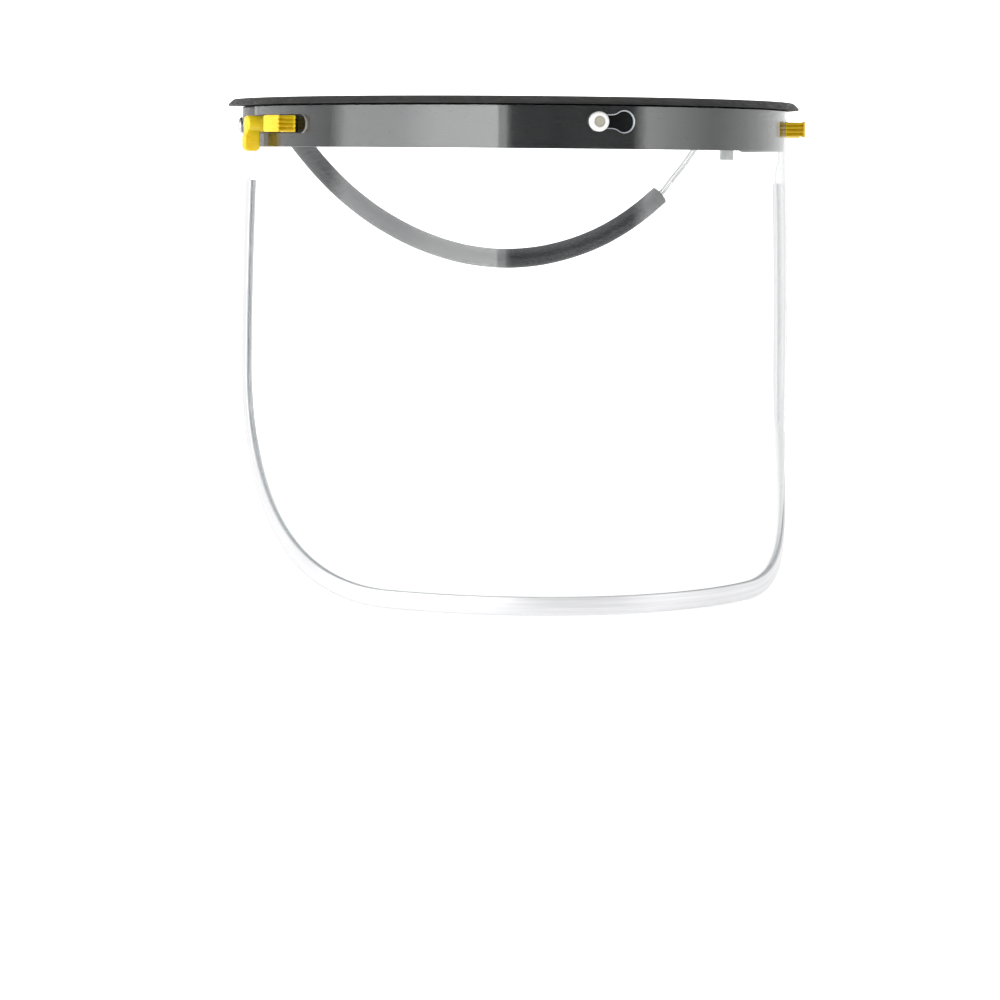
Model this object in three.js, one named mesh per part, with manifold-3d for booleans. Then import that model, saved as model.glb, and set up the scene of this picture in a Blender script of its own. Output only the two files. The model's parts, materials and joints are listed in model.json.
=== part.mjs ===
// Face shield for a hard hat: a U-shaped carrier band with a rubber seal on top, a clear
// visor with a metal edge binding, a keyhole stud, two side turn latches and a rear strap.
// Millimetres, +Z up, the front of the visor towards -Y. The origin is where the hat sits:
// on the seal's top plane, at the band's widest line. "left" is -X and "right" is +X.

import * as THREE from 'three';
import { mergeVertices } from 'three/addons/utils/BufferGeometryUtils.js';
import Module from 'manifold-3d';

const wasm = await Module();
wasm.setup();

const GAP = 0.3;                    // air left between neighbouring pieces

// Carrier band, seen from above: half an ellipse in front and a short arc behind each side
const HALF_WIDTH = 118;
const FRONT_DEPTH = 144;
const LEG_RADIUS = 56;
const LEG_TURN = THREE.MathUtils.degToRad(22);
const BAND_HEIGHT = 17.5;
const BAND_THICKNESS = 2.2;
const BAND_CORNER = 4;
const BAND_STEP = 9;

// Rubber seal that caps the band
const SEAL_THICKNESS = 3.1;
const SEAL_OVERHANG = 6.3;
const SEAL_INSIDE = -8;
const SEAL_SKIRT = 2.1;

const BAND_TOP = -SEAL_THICKNESS - GAP;
const BAND_BOTTOM = BAND_TOP - BAND_HEIGHT;
const LATCH_Z = BAND_BOTTOM + 9.6;
const STUD_Z = BAND_BOTTOM + 10.9;

// Clear visor, measured flat along the band (s) and in height (z)
const SHEET_THICKNESS = 1;
const SHEET_INNER = GAP;
const SHEET_OUTER = SHEET_INNER + SHEET_THICKNESS;
const SHEET_MIDDLE = (SHEET_INNER + SHEET_OUTER) / 2;
const SHEET_TOP = BAND_TOP - 0.4;
const SHEET_BOTTOM = BAND_BOTTOM - 185.5;
const SHEET_HALF_LENGTH = 190;
const TAB_HALF_LENGTH = 182;
const SHOULDER_Z = BAND_BOTTOM - 5;
const SHOULDER_DROP = 9;
const CORNER_WIDTH = 104;
const CORNER_HEIGHT = 94;
const SHEET_FLARE = 2;
const FLARE_START = 80;
const SHEET_ROWS = 8;

// Keyhole over the stud, and the open-ended slots over the side latches
const KEYHOLE_SHIFT = 11;
const KEYHOLE_RADIUS = 4.2;
const KEYHOLE_NECK = 2.5;
const SLOT_END = 134;
const SLOT_HALF_HEIGHT = 3.95;

// Edge binding: a folded channel over the visor's edge
const BINDING_DEPTH = 6.2;
const BINDING_WEB = 1.2;
const BINDING_WALL = 0.6;
const BINDING_START = SHOULDER_Z - SHOULDER_DROP;

// Centre stud
const STUD_HEAD_RADIUS = 4;
const STUD_HEAD_HEIGHT = 3;
const STUD_SHANK_RADIUS = 2;
const STUD_RECESS_RADIUS = 2.3;
const STUD_RECESS_DEPTH = 0.8;

// Side latches: a fixed block and, behind it, a wing that turns on a pin
const BLOCK_FRONT = 143;
const BLOCK_LENGTH = 11.5;
const BLOCK_HALF_HEIGHT = 3.5;
const BLOCK_FLUTES = 4;
const BLOCK_FLUTE_DEPTH = 0.6;
const LATCH_HEIGHT = 9;
const WING_S = 172.5;
const WING_LENGTH = 11.5;
const WING_THICKNESS = 4;
const WING_LIFT = 2.6;
const WING_TIP_OVERHANG = 0.8;
const HUB_RADIUS = 3.5;
const PIN_RADIUS = 1;
const PIN_END = 5;

// Rivet near each rear end, and the bent clip that it holds inside the band
const RIVET_S_FROM_WIDEST = 13.7;
const RIVET_HEAD_RADIUS = 3.5;
const RIVET_SHANK_RADIUS = 1.6;
const CLIP_THICKNESS = 1.2;
const CLIP_HALF_HEIGHT = 5;
const CLIP_FACE_Y = 23;
const CLIP_EAR_END_Y = 31;
const LEFT_EAR_X = -98;
const RIGHT_EAR_X = 104;
const RIGHT_TAB_Z = BAND_BOTTOM - 3.7;
const RIGHT_TAB_WIDTH = 6.6;

// Rear strap: a coil spring in a rubber sleeve, hanging from the two ears. STRAP_LINE holds the
// spring's [x, z] points, and the sleeve covers those from SLEEVE_FIRST to SLEEVE_LAST.
const STRAP_Y = 27;
const STRAP_Z = LATCH_Z;
const STRAP_LINE = [
  [-91, -15.4], [-89.2, -17.6], [-87, -20.4], [-80, -28.6], [-72, -36.8], [-64, -43.7], [-55, -50.3],
  [-45, -56.2], [-35, -61], [-24, -65], [-11, -68.2], [4, -69.7], [18, -69],
  [30, -66.8], [41, -63.5], [51, -59.3], [60, -54.3], [69, -48.1], [78, -40.6],
  [84, -33.3], [89, -27.2], [93, -21.6], [97, -15.6],
];
const SLEEVE_FIRST = 1;
const SLEEVE_LAST = 18;
const SPRING_RADIUS = 1.6;
const SLEEVE_RADIUS = 4.4;
const SLEEVE_BORE = 2.2;
const HOOK_RADIUS = 0.9;
const EAR_HOLE_RADIUS = 1.25;

const MATERIALS = {
  bandPlastic: { color: 0x17181a, roughness: 0.3, metalness: 0 },
  sealRubber: { color: 0x1b1c1b, roughness: 0.6, metalness: 0 },
  clearSheet: { color: 0xf4f7f7, roughness: 0.04, metalness: 0, transparent: true, opacity: 0.2 },
  bindingAluminium: { color: 0xd9dadb, roughness: 0.28, metalness: 1 },
  studPlastic: { color: 0xf1f0ec, roughness: 0.35, metalness: 0 },
  studInlay: { color: 0xb9b8ab, roughness: 0.5, metalness: 0 },
  yellowPlastic: { color: 0xf2d51c, roughness: 0.35, metalness: 0 },
  brightSteel: { color: 0xd2d3d4, roughness: 0.25, metalness: 1 },
  sleeveRubber: { color: 0x3b3d40, roughness: 0.65, metalness: 0 },
};

const model = new THREE.Group();

// ---- solids ----

function signedVolume(geometry) {
  const position = geometry.getAttribute('position');
  const index = geometry.index;
  const a = new THREE.Vector3();
  const b = new THREE.Vector3();
  const c = new THREE.Vector3();
  let volume = 0;
  for (let i = 0; i < index.count; i += 3) {
    a.fromBufferAttribute(position, index.getX(i));
    b.fromBufferAttribute(position, index.getX(i + 1));
    c.fromBufferAttribute(position, index.getX(i + 2));
    volume += a.dot(b.cross(c)) / 6;
  }
  return volume;
}

// Vertices shared by position only, with the faces turned to point outwards.
function closed(geometry) {
  const plain = geometry.clone();
  plain.deleteAttribute('normal');
  plain.deleteAttribute('uv');
  const welded = mergeVertices(plain, 1e-4);
  if (signedVolume(welded) < 0) {
    const index = welded.index;
    for (let i = 0; i < index.count; i += 3) {
      const first = index.getX(i);
      index.setX(i, index.getX(i + 1));
      index.setX(i + 1, first);
    }
  }
  return welded;
}

function toSolid(geometry) {
  const body = closed(geometry);
  const vertProperties = new Float32Array(body.getAttribute('position').array);
  const triVerts = new Uint32Array(body.index.array);
  return new wasm.Manifold(new wasm.Mesh({ numProp: 3, vertProperties, triVerts }));
}

function fromSolid(solid) {
  const mesh = solid.getMesh();
  const geometry = new THREE.BufferGeometry();
  geometry.setAttribute('position', new THREE.BufferAttribute(mesh.vertProperties, 3));
  geometry.setIndex(new THREE.BufferAttribute(mesh.triVerts, 1));
  return geometry;
}

function cut(geometry, ...cutters) {
  let solid = toSolid(geometry);
  for (const cutter of cutters) {
    solid = solid.subtract(toSolid(cutter));
  }
  return fromSolid(solid);
}

function join(...geometries) {
  let solid = toSolid(geometries[0]);
  for (const geometry of geometries.slice(1)) {
    solid = solid.add(toSolid(geometry));
  }
  return fromSolid(solid);
}

function add(name, geometry, material) {
  const body = closed(geometry);
  body.computeVertexNormals();
  const mesh = new THREE.Mesh(body, new THREE.MeshStandardMaterial(MATERIALS[material]));
  mesh.name = name;
  model.add(mesh);
}

// A section carried through stations: place(section point, station) gives the corner.
function loft(section, stations, place) {
  const size = section.length;
  const positions = [];
  for (const station of stations) {
    for (const point of section) {
      positions.push(...place(point, station).toArray());
    }
  }
  const indices = [];
  for (let i = 0; i + 1 < stations.length; i += 1) {
    for (let j = 0; j < size; j += 1) {
      const a = i * size + j;
      const b = i * size + ((j + 1) % size);
      indices.push(a, b, a + size, b, b + size, a + size);
    }
  }
  const last = (stations.length - 1) * size;
  for (const [a, b, c] of THREE.ShapeUtils.triangulateShape(section, [])) {
    indices.push(a, c, b, last + a, last + b, last + c);
  }
  const geometry = new THREE.BufferGeometry();
  geometry.setAttribute('position', new THREE.Float32BufferAttribute(positions, 3));
  geometry.setIndex(indices);
  return geometry;
}

function evenSteps(from, to, count) {
  return Array.from({ length: count + 1 }, (_, i) => from + ((to - from) * i) / count);
}

// ---- the band's line, seen from above ----

const ARC_SAMPLES = 720;
const arcLengths = [0];
for (let i = 1; i <= ARC_SAMPLES; i += 1) {
  const before = ((i - 1) * Math.PI) / 2 / ARC_SAMPLES;
  const after = (i * Math.PI) / 2 / ARC_SAMPLES;
  const dx = HALF_WIDTH * (Math.sin(after) - Math.sin(before));
  const dy = FRONT_DEPTH * (Math.cos(after) - Math.cos(before));
  arcLengths.push(arcLengths[i - 1] + Math.hypot(dx, dy));
}
const WIDEST_S = arcLengths[ARC_SAMPLES];
const BAND_HALF_LENGTH = WIDEST_S + LEG_RADIUS * LEG_TURN;
const RIVET_S = WIDEST_S + RIVET_S_FROM_WIDEST;

function ellipseAngle(length) {
  const after = arcLengths.findIndex((sum) => sum >= length);
  if (after <= 0) {
    return 0;
  }
  const share = (length - arcLengths[after - 1]) / (arcLengths[after] - arcLengths[after - 1]);
  return ((after - 1 + share) * Math.PI) / 2 / ARC_SAMPLES;
}

// Point and outward direction at s along the band's outer face, counted from the front.
function bandLine(s) {
  const side = Math.sign(s) || 1;
  const length = Math.abs(s);
  if (length > WIDEST_S) {
    const turn = (length - WIDEST_S) / LEG_RADIUS;
    const x = HALF_WIDTH - LEG_RADIUS * (1 - Math.cos(turn));
    const y = LEG_RADIUS * Math.sin(turn);
    return { x: side * x, y, nx: side * Math.cos(turn), ny: Math.sin(turn) };
  }
  const angle = ellipseAngle(length);
  const across = FRONT_DEPTH * Math.sin(angle);
  const ahead = HALF_WIDTH * Math.cos(angle);
  const scale = Math.hypot(across, ahead);
  return {
    x: side * HALF_WIDTH * Math.sin(angle),
    y: -FRONT_DEPTH * Math.cos(angle),
    nx: (side * across) / scale,
    ny: -ahead / scale,
  };
}

function bandPoint(s, offset, z) {
  const line = bandLine(s);
  return new THREE.Vector3(line.x + offset * line.nx, line.y + offset * line.ny, z);
}

// Moves a shape from local axes (x rearwards, y up, z outwards) to the place s on the band.
function placeOnBand(geometry, s, z) {
  const line = bandLine(s);
  const side = Math.sign(s) || 1;
  const rear = new THREE.Vector3(-line.ny * side, line.nx * side, 0);
  const up = new THREE.Vector3(0, 0, 1);
  const out = new THREE.Vector3(line.nx, line.ny, 0);
  const matrix = new THREE.Matrix4().makeBasis(rear, up, out);
  matrix.setPosition(line.x, line.y, z);
  return geometry.clone().applyMatrix4(matrix);
}

// A round bar along local z, from one height to another.
function bar(radius, from, to, sides = 16) {
  const geometry = new THREE.CylinderGeometry(radius, radius, to - from, sides);
  geometry.rotateX(Math.PI / 2);
  geometry.translate(0, 0, (from + to) / 2);
  return geometry;
}

// A turned piece about local z, from [radius, height] pairs that close on themselves.
function turned(profile, sides = 16) {
  const geometry = new THREE.LatheGeometry(profile.map(([r, h]) => new THREE.Vector2(r, h)), sides);
  geometry.rotateX(Math.PI / 2);
  return geometry;
}

function plate(outline, thickness, from, bevel = 0) {
  const settings = { depth: thickness - 2 * bevel, bevelEnabled: bevel > 0, steps: 1 };
  Object.assign(settings, { bevelSize: bevel, bevelOffset: -bevel });
  Object.assign(settings, { bevelThickness: bevel, bevelSegments: 1, curveSegments: 6 });
  const geometry = new THREE.ExtrudeGeometry(new THREE.Shape(outline), settings);
  geometry.translate(0, 0, from + bevel);
  return geometry;
}

// ---- carrier band and seal ----

function bandHalfHeight(s) {
  const left = BAND_HALF_LENGTH - Math.abs(s);
  if (left >= BAND_CORNER) {
    return BAND_HEIGHT / 2;
  }
  const round = Math.sqrt(BAND_CORNER ** 2 - (BAND_CORNER - left) ** 2);
  return BAND_HEIGHT / 2 - BAND_CORNER + round;
}

function bandStations() {
  const straight = BAND_HALF_LENGTH - BAND_CORNER;
  const middle = evenSteps(-straight, straight, Math.round((2 * straight) / BAND_STEP));
  const corner = [0.7, 0.3, 0].map((share) => BAND_HALF_LENGTH - BAND_CORNER * share * 0.7);
  return [...corner.map((s) => -s).reverse(), ...middle, ...corner];
}

function bandBody() {
  const edge = 0.4;
  const half = BAND_HEIGHT / 2;
  const inner = -BAND_THICKNESS;
  const section = [
    [inner, -half + edge], [inner + edge, -half], [-edge, -half], [0, -half + edge],
    [0, half - edge], [-edge, half], [inner + edge, half], [inner, half - edge],
  ].map(([offset, height]) => new THREE.Vector2(offset, height));
  const middle = (BAND_TOP + BAND_BOTTOM) / 2;
  const place = (point, s) => {
    return bandPoint(s, point.x, middle + (point.y * bandHalfHeight(s)) / half);
  };
  return loft(section, bandStations(), place);
}

function throughHole(radius, s, z) {
  return placeOnBand(bar(radius, -BAND_THICKNESS - 3, 3), s, z);
}

function buildBand() {
  const holes = [throughHole(STUD_SHANK_RADIUS + GAP, 0, STUD_Z)];
  for (const side of [-1, 1]) {
    holes.push(throughHole(PIN_RADIUS + GAP, side * WING_S, LATCH_Z));
    holes.push(throughHole(RIVET_SHANK_RADIUS + GAP, side * RIVET_S, LATCH_Z));
  }
  add('carrier_band', cut(bandBody(), ...holes), 'bandPlastic');
}

function buildSeal() {
  const under = -SEAL_THICKNESS;
  const skirt = -BAND_THICKNESS - GAP;
  const section = [
    [SEAL_OVERHANG, under + 0.1], [SEAL_OVERHANG, under + 0.7], [SEAL_OVERHANG - 2.2, 0],
    [SEAL_INSIDE + 1.2, 0], [SEAL_INSIDE, -1], [SEAL_INSIDE, -1.8], [skirt - 1.8, under],
    [skirt - 1.5, under - SEAL_SKIRT], [skirt, under - SEAL_SKIRT], [skirt, under],
  ].map(([offset, height]) => new THREE.Vector2(offset, height));
  const count = Math.round((2 * BAND_HALF_LENGTH) / BAND_STEP);
  const stations = evenSteps(-BAND_HALF_LENGTH, BAND_HALF_LENGTH, count);
  add('top_seal', loft(section, stations, (point, s) => bandPoint(s, point.x, point.y)), 'sealRubber');
}

// ---- visor ----

function sheetPoint(s, z, offset) {
  const reach = THREE.MathUtils.smoothstep(Math.abs(s), FLARE_START, SHEET_HALF_LENGTH);
  const drop = THREE.MathUtils.clamp((BAND_BOTTOM - z) / (BAND_BOTTOM - SHEET_BOTTOM), 0, 1);
  const flare = SHEET_FLARE * reach * Math.sin(Math.PI * drop);
  return bandPoint(s, SHEET_MIDDLE + flare + offset, z);
}

function lowerEdge(s) {
  const beyond = Math.max(0, Math.abs(s) - (SHEET_HALF_LENGTH - CORNER_WIDTH)) / CORNER_WIDTH;
  return SHEET_BOTTOM + CORNER_HEIGHT * (1 - Math.sqrt(Math.max(0, 1 - beyond ** 2)));
}

function upperEdge(s) {
  const length = Math.abs(s);
  if (length <= TAB_HALF_LENGTH) {
    return SHEET_TOP;
  }
  const width = SHEET_HALF_LENGTH - TAB_HALF_LENGTH;
  const share = Math.min(1, (length - TAB_HALF_LENGTH) / width);
  return SHOULDER_Z - SHOULDER_DROP * (1 - Math.sqrt(1 - share ** 2));
}

// A curved panel in columns along s, from lower(s) to upper(s), between two offsets.
function panel({ columns, rows, lower, upper, inner, outer, place }) {
  const section = [];
  for (const share of evenSteps(0, 1, rows)) {
    section.push(new THREE.Vector2(outer, share));
  }
  for (const share of evenSteps(1, 0, rows)) {
    section.push(new THREE.Vector2(inner, share));
  }
  return loft(section, columns, (point, s) => {
    return place(s, THREE.MathUtils.lerp(lower(s), upper(s), point.y), point.x);
  });
}

function sheetColumns() {
  const flat = SHEET_HALF_LENGTH - CORNER_WIDTH;
  const middle = evenSteps(-flat, flat, 20);
  const sweep = evenSteps(5, 80, 15).map((angle) => {
    return flat + CORNER_WIDTH * Math.sin(THREE.MathUtils.degToRad(angle));
  });
  const ends = [...sweep.filter((s) => s < TAB_HALF_LENGTH - 2), TAB_HALF_LENGTH];
  for (const share of [0.04, 0.4, 0.75, 0.93, 1]) {
    ends.push(TAB_HALF_LENGTH + share * (SHEET_HALF_LENGTH - TAB_HALF_LENGTH));
  }
  return [...ends.map((s) => -s).reverse(), ...middle, ...ends];
}

function keyholeCutter() {
  const outline = [];
  const neckAngle = Math.asin(KEYHOLE_NECK / KEYHOLE_RADIUS);
  for (const turn of evenSteps(neckAngle - Math.PI, Math.PI - neckAngle, 18)) {
    const x = KEYHOLE_SHIFT + KEYHOLE_RADIUS * Math.cos(turn);
    outline.push(new THREE.Vector2(x, KEYHOLE_RADIUS * Math.sin(turn)));
  }
  for (const turn of evenSteps(Math.PI / 2, (3 * Math.PI) / 2, 8)) {
    outline.push(new THREE.Vector2(KEYHOLE_NECK * Math.cos(turn), KEYHOLE_NECK * Math.sin(turn)));
  }
  return placeOnBand(plate(outline, 8, -3), 0, STUD_Z);
}

function slotCutter(side) {
  const halfHeight = (s) => {
    const inside = Math.max(0, SLOT_END + SLOT_HALF_HEIGHT - Math.abs(s));
    return Math.sqrt(Math.max(0.01, SLOT_HALF_HEIGHT ** 2 - inside ** 2));
  };
  const rounding = [0, 0.1, 0.3, 0.6, 1].map((share) => SLOT_END + SLOT_HALF_HEIGHT * share);
  const along = [...rounding, ...evenSteps(SLOT_END + 10, TAB_HALF_LENGTH + 3, 5)];
  return panel({
    columns: along.map((s) => side * s),
    rows: 1,
    lower: (s) => LATCH_Z - halfHeight(s),
    upper: (s) => LATCH_Z + halfHeight(s),
    inner: -1.5,
    outer: 4,
    place: (s, z, offset) => bandPoint(s, offset, z),
  });
}

function buildSheet() {
  const sheet = panel({
    columns: sheetColumns(),
    rows: SHEET_ROWS,
    lower: lowerEdge,
    upper: upperEdge,
    inner: -SHEET_THICKNESS / 2,
    outer: SHEET_THICKNESS / 2,
    place: sheetPoint,
  });
  const openings = [keyholeCutter(), slotCutter(-1), slotCutter(1)];
  add('visor_sheet', cut(sheet, ...openings), 'clearSheet');
}

// The visor's outline as [s, z] pairs, from the left shoulder round the bottom to the right.
function bindingRoute() {
  const cornerTop = SHEET_BOTTOM + CORNER_HEIGHT;
  const flat = SHEET_HALF_LENGTH - CORNER_WIDTH;
  const half = [];
  for (const z of evenSteps(BINDING_START, cornerTop, 6).slice(0, -1)) {
    half.push([SHEET_HALF_LENGTH, z]);
  }
  for (const turn of evenSteps(0, Math.PI / 2, 18)) {
    const s = flat + CORNER_WIDTH * Math.cos(turn);
    half.push([s, cornerTop - CORNER_HEIGHT * Math.sin(turn)]);
  }
  for (const s of evenSteps(flat, 0, 10).slice(1, -1)) {
    half.push([s, SHEET_BOTTOM]);
  }
  const mirrored = half.map(([s, z]) => [-s, z]);
  return [...mirrored, [0, SHEET_BOTTOM], ...half.reverse()];
}

function buildBinding() {
  const wall = SHEET_THICKNESS / 2 + GAP;
  const face = wall + BINDING_WALL;
  const section = [
    [-BINDING_WEB, -face + 0.6], [-BINDING_WEB + 0.2, -face + 0.2], [-0.6, -face],
    [BINDING_DEPTH, -face], [BINDING_DEPTH, -wall], [-GAP, -wall],
    [-GAP, wall], [BINDING_DEPTH, wall], [BINDING_DEPTH, face],
    [-0.6, face], [-BINDING_WEB + 0.2, face - 0.2], [-BINDING_WEB, face - 0.6],
  ].map(([inward, offset]) => new THREE.Vector2(inward, offset));
  const route = bindingRoute();
  const stations = route.map(([s, z], i) => {
    const before = route[Math.max(0, i - 1)];
    const after = route[Math.min(route.length - 1, i + 1)];
    const along = new THREE.Vector2(after[0] - before[0], after[1] - before[1]).normalize();
    return { s, z, inward: new THREE.Vector2(-along.y, along.x) };
  });
  const place = (point, station) => {
    const s = station.s + point.x * station.inward.x;
    return sheetPoint(s, station.z + point.x * station.inward.y, point.y);
  };
  add('edge_binding', loft(section, stations, place), 'bindingAluminium');
}

// ---- centre stud ----

function buildStud() {
  const headBase = SHEET_OUTER + GAP;
  const headTop = headBase + STUD_HEAD_HEIGHT;
  const recessFloor = headTop - STUD_RECESS_DEPTH;
  const washerFace = -BAND_THICKNESS - GAP;
  const washerBack = washerFace - 1;
  const tailFace = washerBack - GAP;
  const tailBack = tailFace - 0.9;
  const profile = [
    [0, tailBack], [2.6, tailBack], [3.2, tailFace - 0.3], [3.2, tailFace],
    [STUD_SHANK_RADIUS, tailFace], [STUD_SHANK_RADIUS, headBase], [STUD_HEAD_RADIUS, headBase],
    [STUD_HEAD_RADIUS, headTop - 1.2], [STUD_HEAD_RADIUS - 0.4, headTop - 0.4],
    [STUD_HEAD_RADIUS - 1.2, headTop], [STUD_RECESS_RADIUS, headTop],
    [STUD_RECESS_RADIUS, recessFloor], [0, recessFloor],
  ];
  add('centre_stud', placeOnBand(turned(profile), 0, STUD_Z), 'studPlastic');

  const inlayRadius = STUD_RECESS_RADIUS - GAP;
  const inlay = [
    [0, recessFloor + 0.1], [inlayRadius, recessFloor + 0.1], [inlayRadius, headTop - 0.3],
    [inlayRadius - 0.4, headTop - 0.1], [0, headTop - 0.1],
  ];
  add('stud_inlay', placeOnBand(turned(inlay, 16), 0, STUD_Z), 'studInlay');

  const hole = STUD_SHANK_RADIUS + GAP;
  const washer = [[hole, washerBack], [4.5, washerBack], [4.5, washerFace], [hole, washerFace]];
  washer.push(washer[0]);
  add('stud_washer', placeOnBand(turned(washer, 16), 0, STUD_Z), 'brightSteel');
}

// ---- side latches ----

// Block outline in local x (rearwards) and y (up): scalloped front end, rounded rear end.
function blockOutline(grow) {
  const half = BLOCK_HALF_HEIGHT + grow;
  const outline = [];
  for (const step of evenSteps(0, BLOCK_FLUTES * 4, BLOCK_FLUTES * 4)) {
    const share = step / (BLOCK_FLUTES * 4);
    const scallop = BLOCK_FLUTE_DEPTH * Math.abs(Math.sin(share * BLOCK_FLUTES * Math.PI));
    outline.push(new THREE.Vector2(-grow - scallop, half * (1 - 2 * share)));
  }
  outline.push(new THREE.Vector2(BLOCK_LENGTH + grow - 1, -half));
  outline.push(new THREE.Vector2(BLOCK_LENGTH + grow, -half + 1));
  outline.push(new THREE.Vector2(BLOCK_LENGTH + grow, half - 1));
  outline.push(new THREE.Vector2(BLOCK_LENGTH + grow - 1, half));
  return outline;
}

function guideBlock() {
  const capThickness = 0.7;
  const base = plate(blockOutline(0), capThickness, GAP);
  const body = plate(blockOutline(-0.4), LATCH_HEIGHT - 2 * GAP, GAP);
  const cap = plate(blockOutline(0), capThickness, LATCH_HEIGHT - capThickness, 0.2);
  return join(base, body, cap);
}

// Wing standing on its hub, pointing along local -y: a paddle whose plane holds the pin.
function wing() {
  const tip = LATCH_HEIGHT + WING_TIP_OVERHANG;
  const side = [
    [HUB_RADIUS - 0.6, WING_LIFT], [HUB_RADIUS - 0.6, LATCH_HEIGHT], [-HUB_RADIUS, LATCH_HEIGHT],
    [-HUB_RADIUS - 1.5, tip], [-WING_LENGTH + 2, tip], [-WING_LENGTH + 0.6, tip - 0.6],
    [-WING_LENGTH, tip - 2], [-WING_LENGTH, WING_LIFT + 2], [-WING_LENGTH + 0.6, WING_LIFT + 0.6],
    [-WING_LENGTH + 2, WING_LIFT],
  ].map(([up, out]) => new THREE.Vector2(out, up));
  const paddle = plate(side, WING_THICKNESS, -WING_THICKNESS / 2, 0.5);
  paddle.rotateY(-Math.PI / 2);
  const hub = bar(HUB_RADIUS, GAP, LATCH_HEIGHT - 0.5, 20);
  const bore = bar(PIN_RADIUS + GAP, -1, PIN_END + GAP);
  return cut(join(hub, paddle), bore);
}

function pin() {
  const washerBack = -BAND_THICKNESS - GAP - 0.6;
  const headFace = washerBack - GAP;
  const profile = [
    [0, headFace - 1], [2, headFace - 1], [2.6, headFace - 0.5], [2.6, headFace],
    [PIN_RADIUS, headFace], [PIN_RADIUS, PIN_END], [0, PIN_END],
  ];
  return turned(profile, 16);
}

function pinWasher() {
  const face = -BAND_THICKNESS - GAP;
  const hole = PIN_RADIUS + GAP;
  const profile = [[hole, face - 0.6], [3.4, face - 0.6], [3.4, face], [hole, face]];
  profile.push(profile[0]);
  return turned(profile, 16);
}

// turn is the wing's angle about the outward direction: 0 hangs down over the visor.
function buildLatch(name, side, turn) {
  const s = side * WING_S;
  add(`${name}_guide_block`, placeOnBand(guideBlock(), side * BLOCK_FRONT, LATCH_Z), 'yellowPlastic');
  add(`${name}_latch_wing`, placeOnBand(wing().rotateZ(turn), s, LATCH_Z), 'yellowPlastic');
  add(`${name}_latch_pin`, placeOnBand(pin(), s, LATCH_Z), 'brightSteel');
  add(`${name}_latch_washer`, placeOnBand(pinWasher(), s, LATCH_Z), 'brightSteel');
}

// ---- rear rivets and strap clips ----

function rivet() {
  const tailFace = -BAND_THICKNESS - CLIP_THICKNESS - 3 * GAP;
  const profile = [
    [0, tailFace - 1], [2.2, tailFace - 1], [2.8, tailFace - 0.5], [2.8, tailFace],
    [RIVET_SHANK_RADIUS, tailFace], [RIVET_SHANK_RADIUS, GAP], [RIVET_HEAD_RADIUS, GAP],
    [RIVET_HEAD_RADIUS, 0.8], [3, 1.5], [2, 2], [0, 2.2],
  ];
  return turned(profile);
}

// The clip seen from above: along the band's inner face, across to the ear, then rearwards.
function clipLine(side, earX) {
  const inside = -BAND_THICKNESS - GAP - CLIP_THICKNESS / 2;
  const line = evenSteps(RIVET_S - 7, BAND_HALF_LENGTH - 1.5, 3).map((s) => {
    const point = bandPoint(side * s, inside, 0);
    return new THREE.Vector2(point.x, point.y);
  });
  line.push(new THREE.Vector2(line[3].x - side * 1.2, CLIP_FACE_Y));
  line.push(new THREE.Vector2(earX + side * 0.8, CLIP_FACE_Y));
  line.push(new THREE.Vector2(earX, CLIP_FACE_Y + 0.8));
  line.push(new THREE.Vector2(earX, CLIP_EAR_END_Y));
  return line;
}

function ribbonOutline(line, thickness) {
  const offsets = line.map((point, i) => {
    const before = line[Math.max(0, i - 1)];
    const after = line[Math.min(line.length - 1, i + 1)];
    const incoming = (i > 0 ? point.clone().sub(before) : after.clone().sub(point)).normalize();
    const outgoing = (i + 1 < line.length ? after.clone().sub(point) : incoming.clone()).normalize();
    const along = incoming.clone().add(outgoing).normalize();
    const mitre = Math.max(0.5, Math.cos(incoming.angleTo(outgoing) / 2));
    return new THREE.Vector2(-along.y, along.x).multiplyScalar(thickness / 2 / mitre);
  });
  const near = line.map((point, i) => point.clone().add(offsets[i]));
  const far = line.map((point, i) => point.clone().sub(offsets[i]));
  return [...near, ...far.reverse()];
}

function buildRearEnd(name, side, earX) {
  const outline = ribbonOutline(clipLine(side, earX), CLIP_THICKNESS);
  let clip = plate(outline, 2 * CLIP_HALF_HEIGHT, STRAP_Z - CLIP_HALF_HEIGHT);
  if (side > 0) {
    const top = STRAP_Z - CLIP_HALF_HEIGHT + 0.5;
    const tab = new THREE.BoxGeometry(RIGHT_TAB_WIDTH, CLIP_THICKNESS, top - RIGHT_TAB_Z);
    tab.translate(earX + 1 + RIGHT_TAB_WIDTH / 2, CLIP_FACE_Y, (top + RIGHT_TAB_Z) / 2);
    clip = join(clip, tab);
  }
  const earHole = bar(EAR_HOLE_RADIUS, -3, 3, 12).rotateY(Math.PI / 2);
  earHole.translate(earX, STRAP_Y, STRAP_Z);
  const rivetHole = throughHole(RIVET_SHANK_RADIUS + GAP, side * RIVET_S, LATCH_Z);
  add(`${name}_strap_clip`, cut(clip, earHole, rivetHole), 'brightSteel');
  add(`${name}_end_rivet`, placeOnBand(rivet(), side * RIVET_S, LATCH_Z), 'brightSteel');
}

// ---- rear strap ----

function strapRoute(first, last) {
  const points = STRAP_LINE.slice(first, last + 1).map(([x, z]) => new THREE.Vector3(x, STRAP_Y, z));
  return new THREE.CatmullRomCurve3(points, false, 'catmullrom');
}

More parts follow.
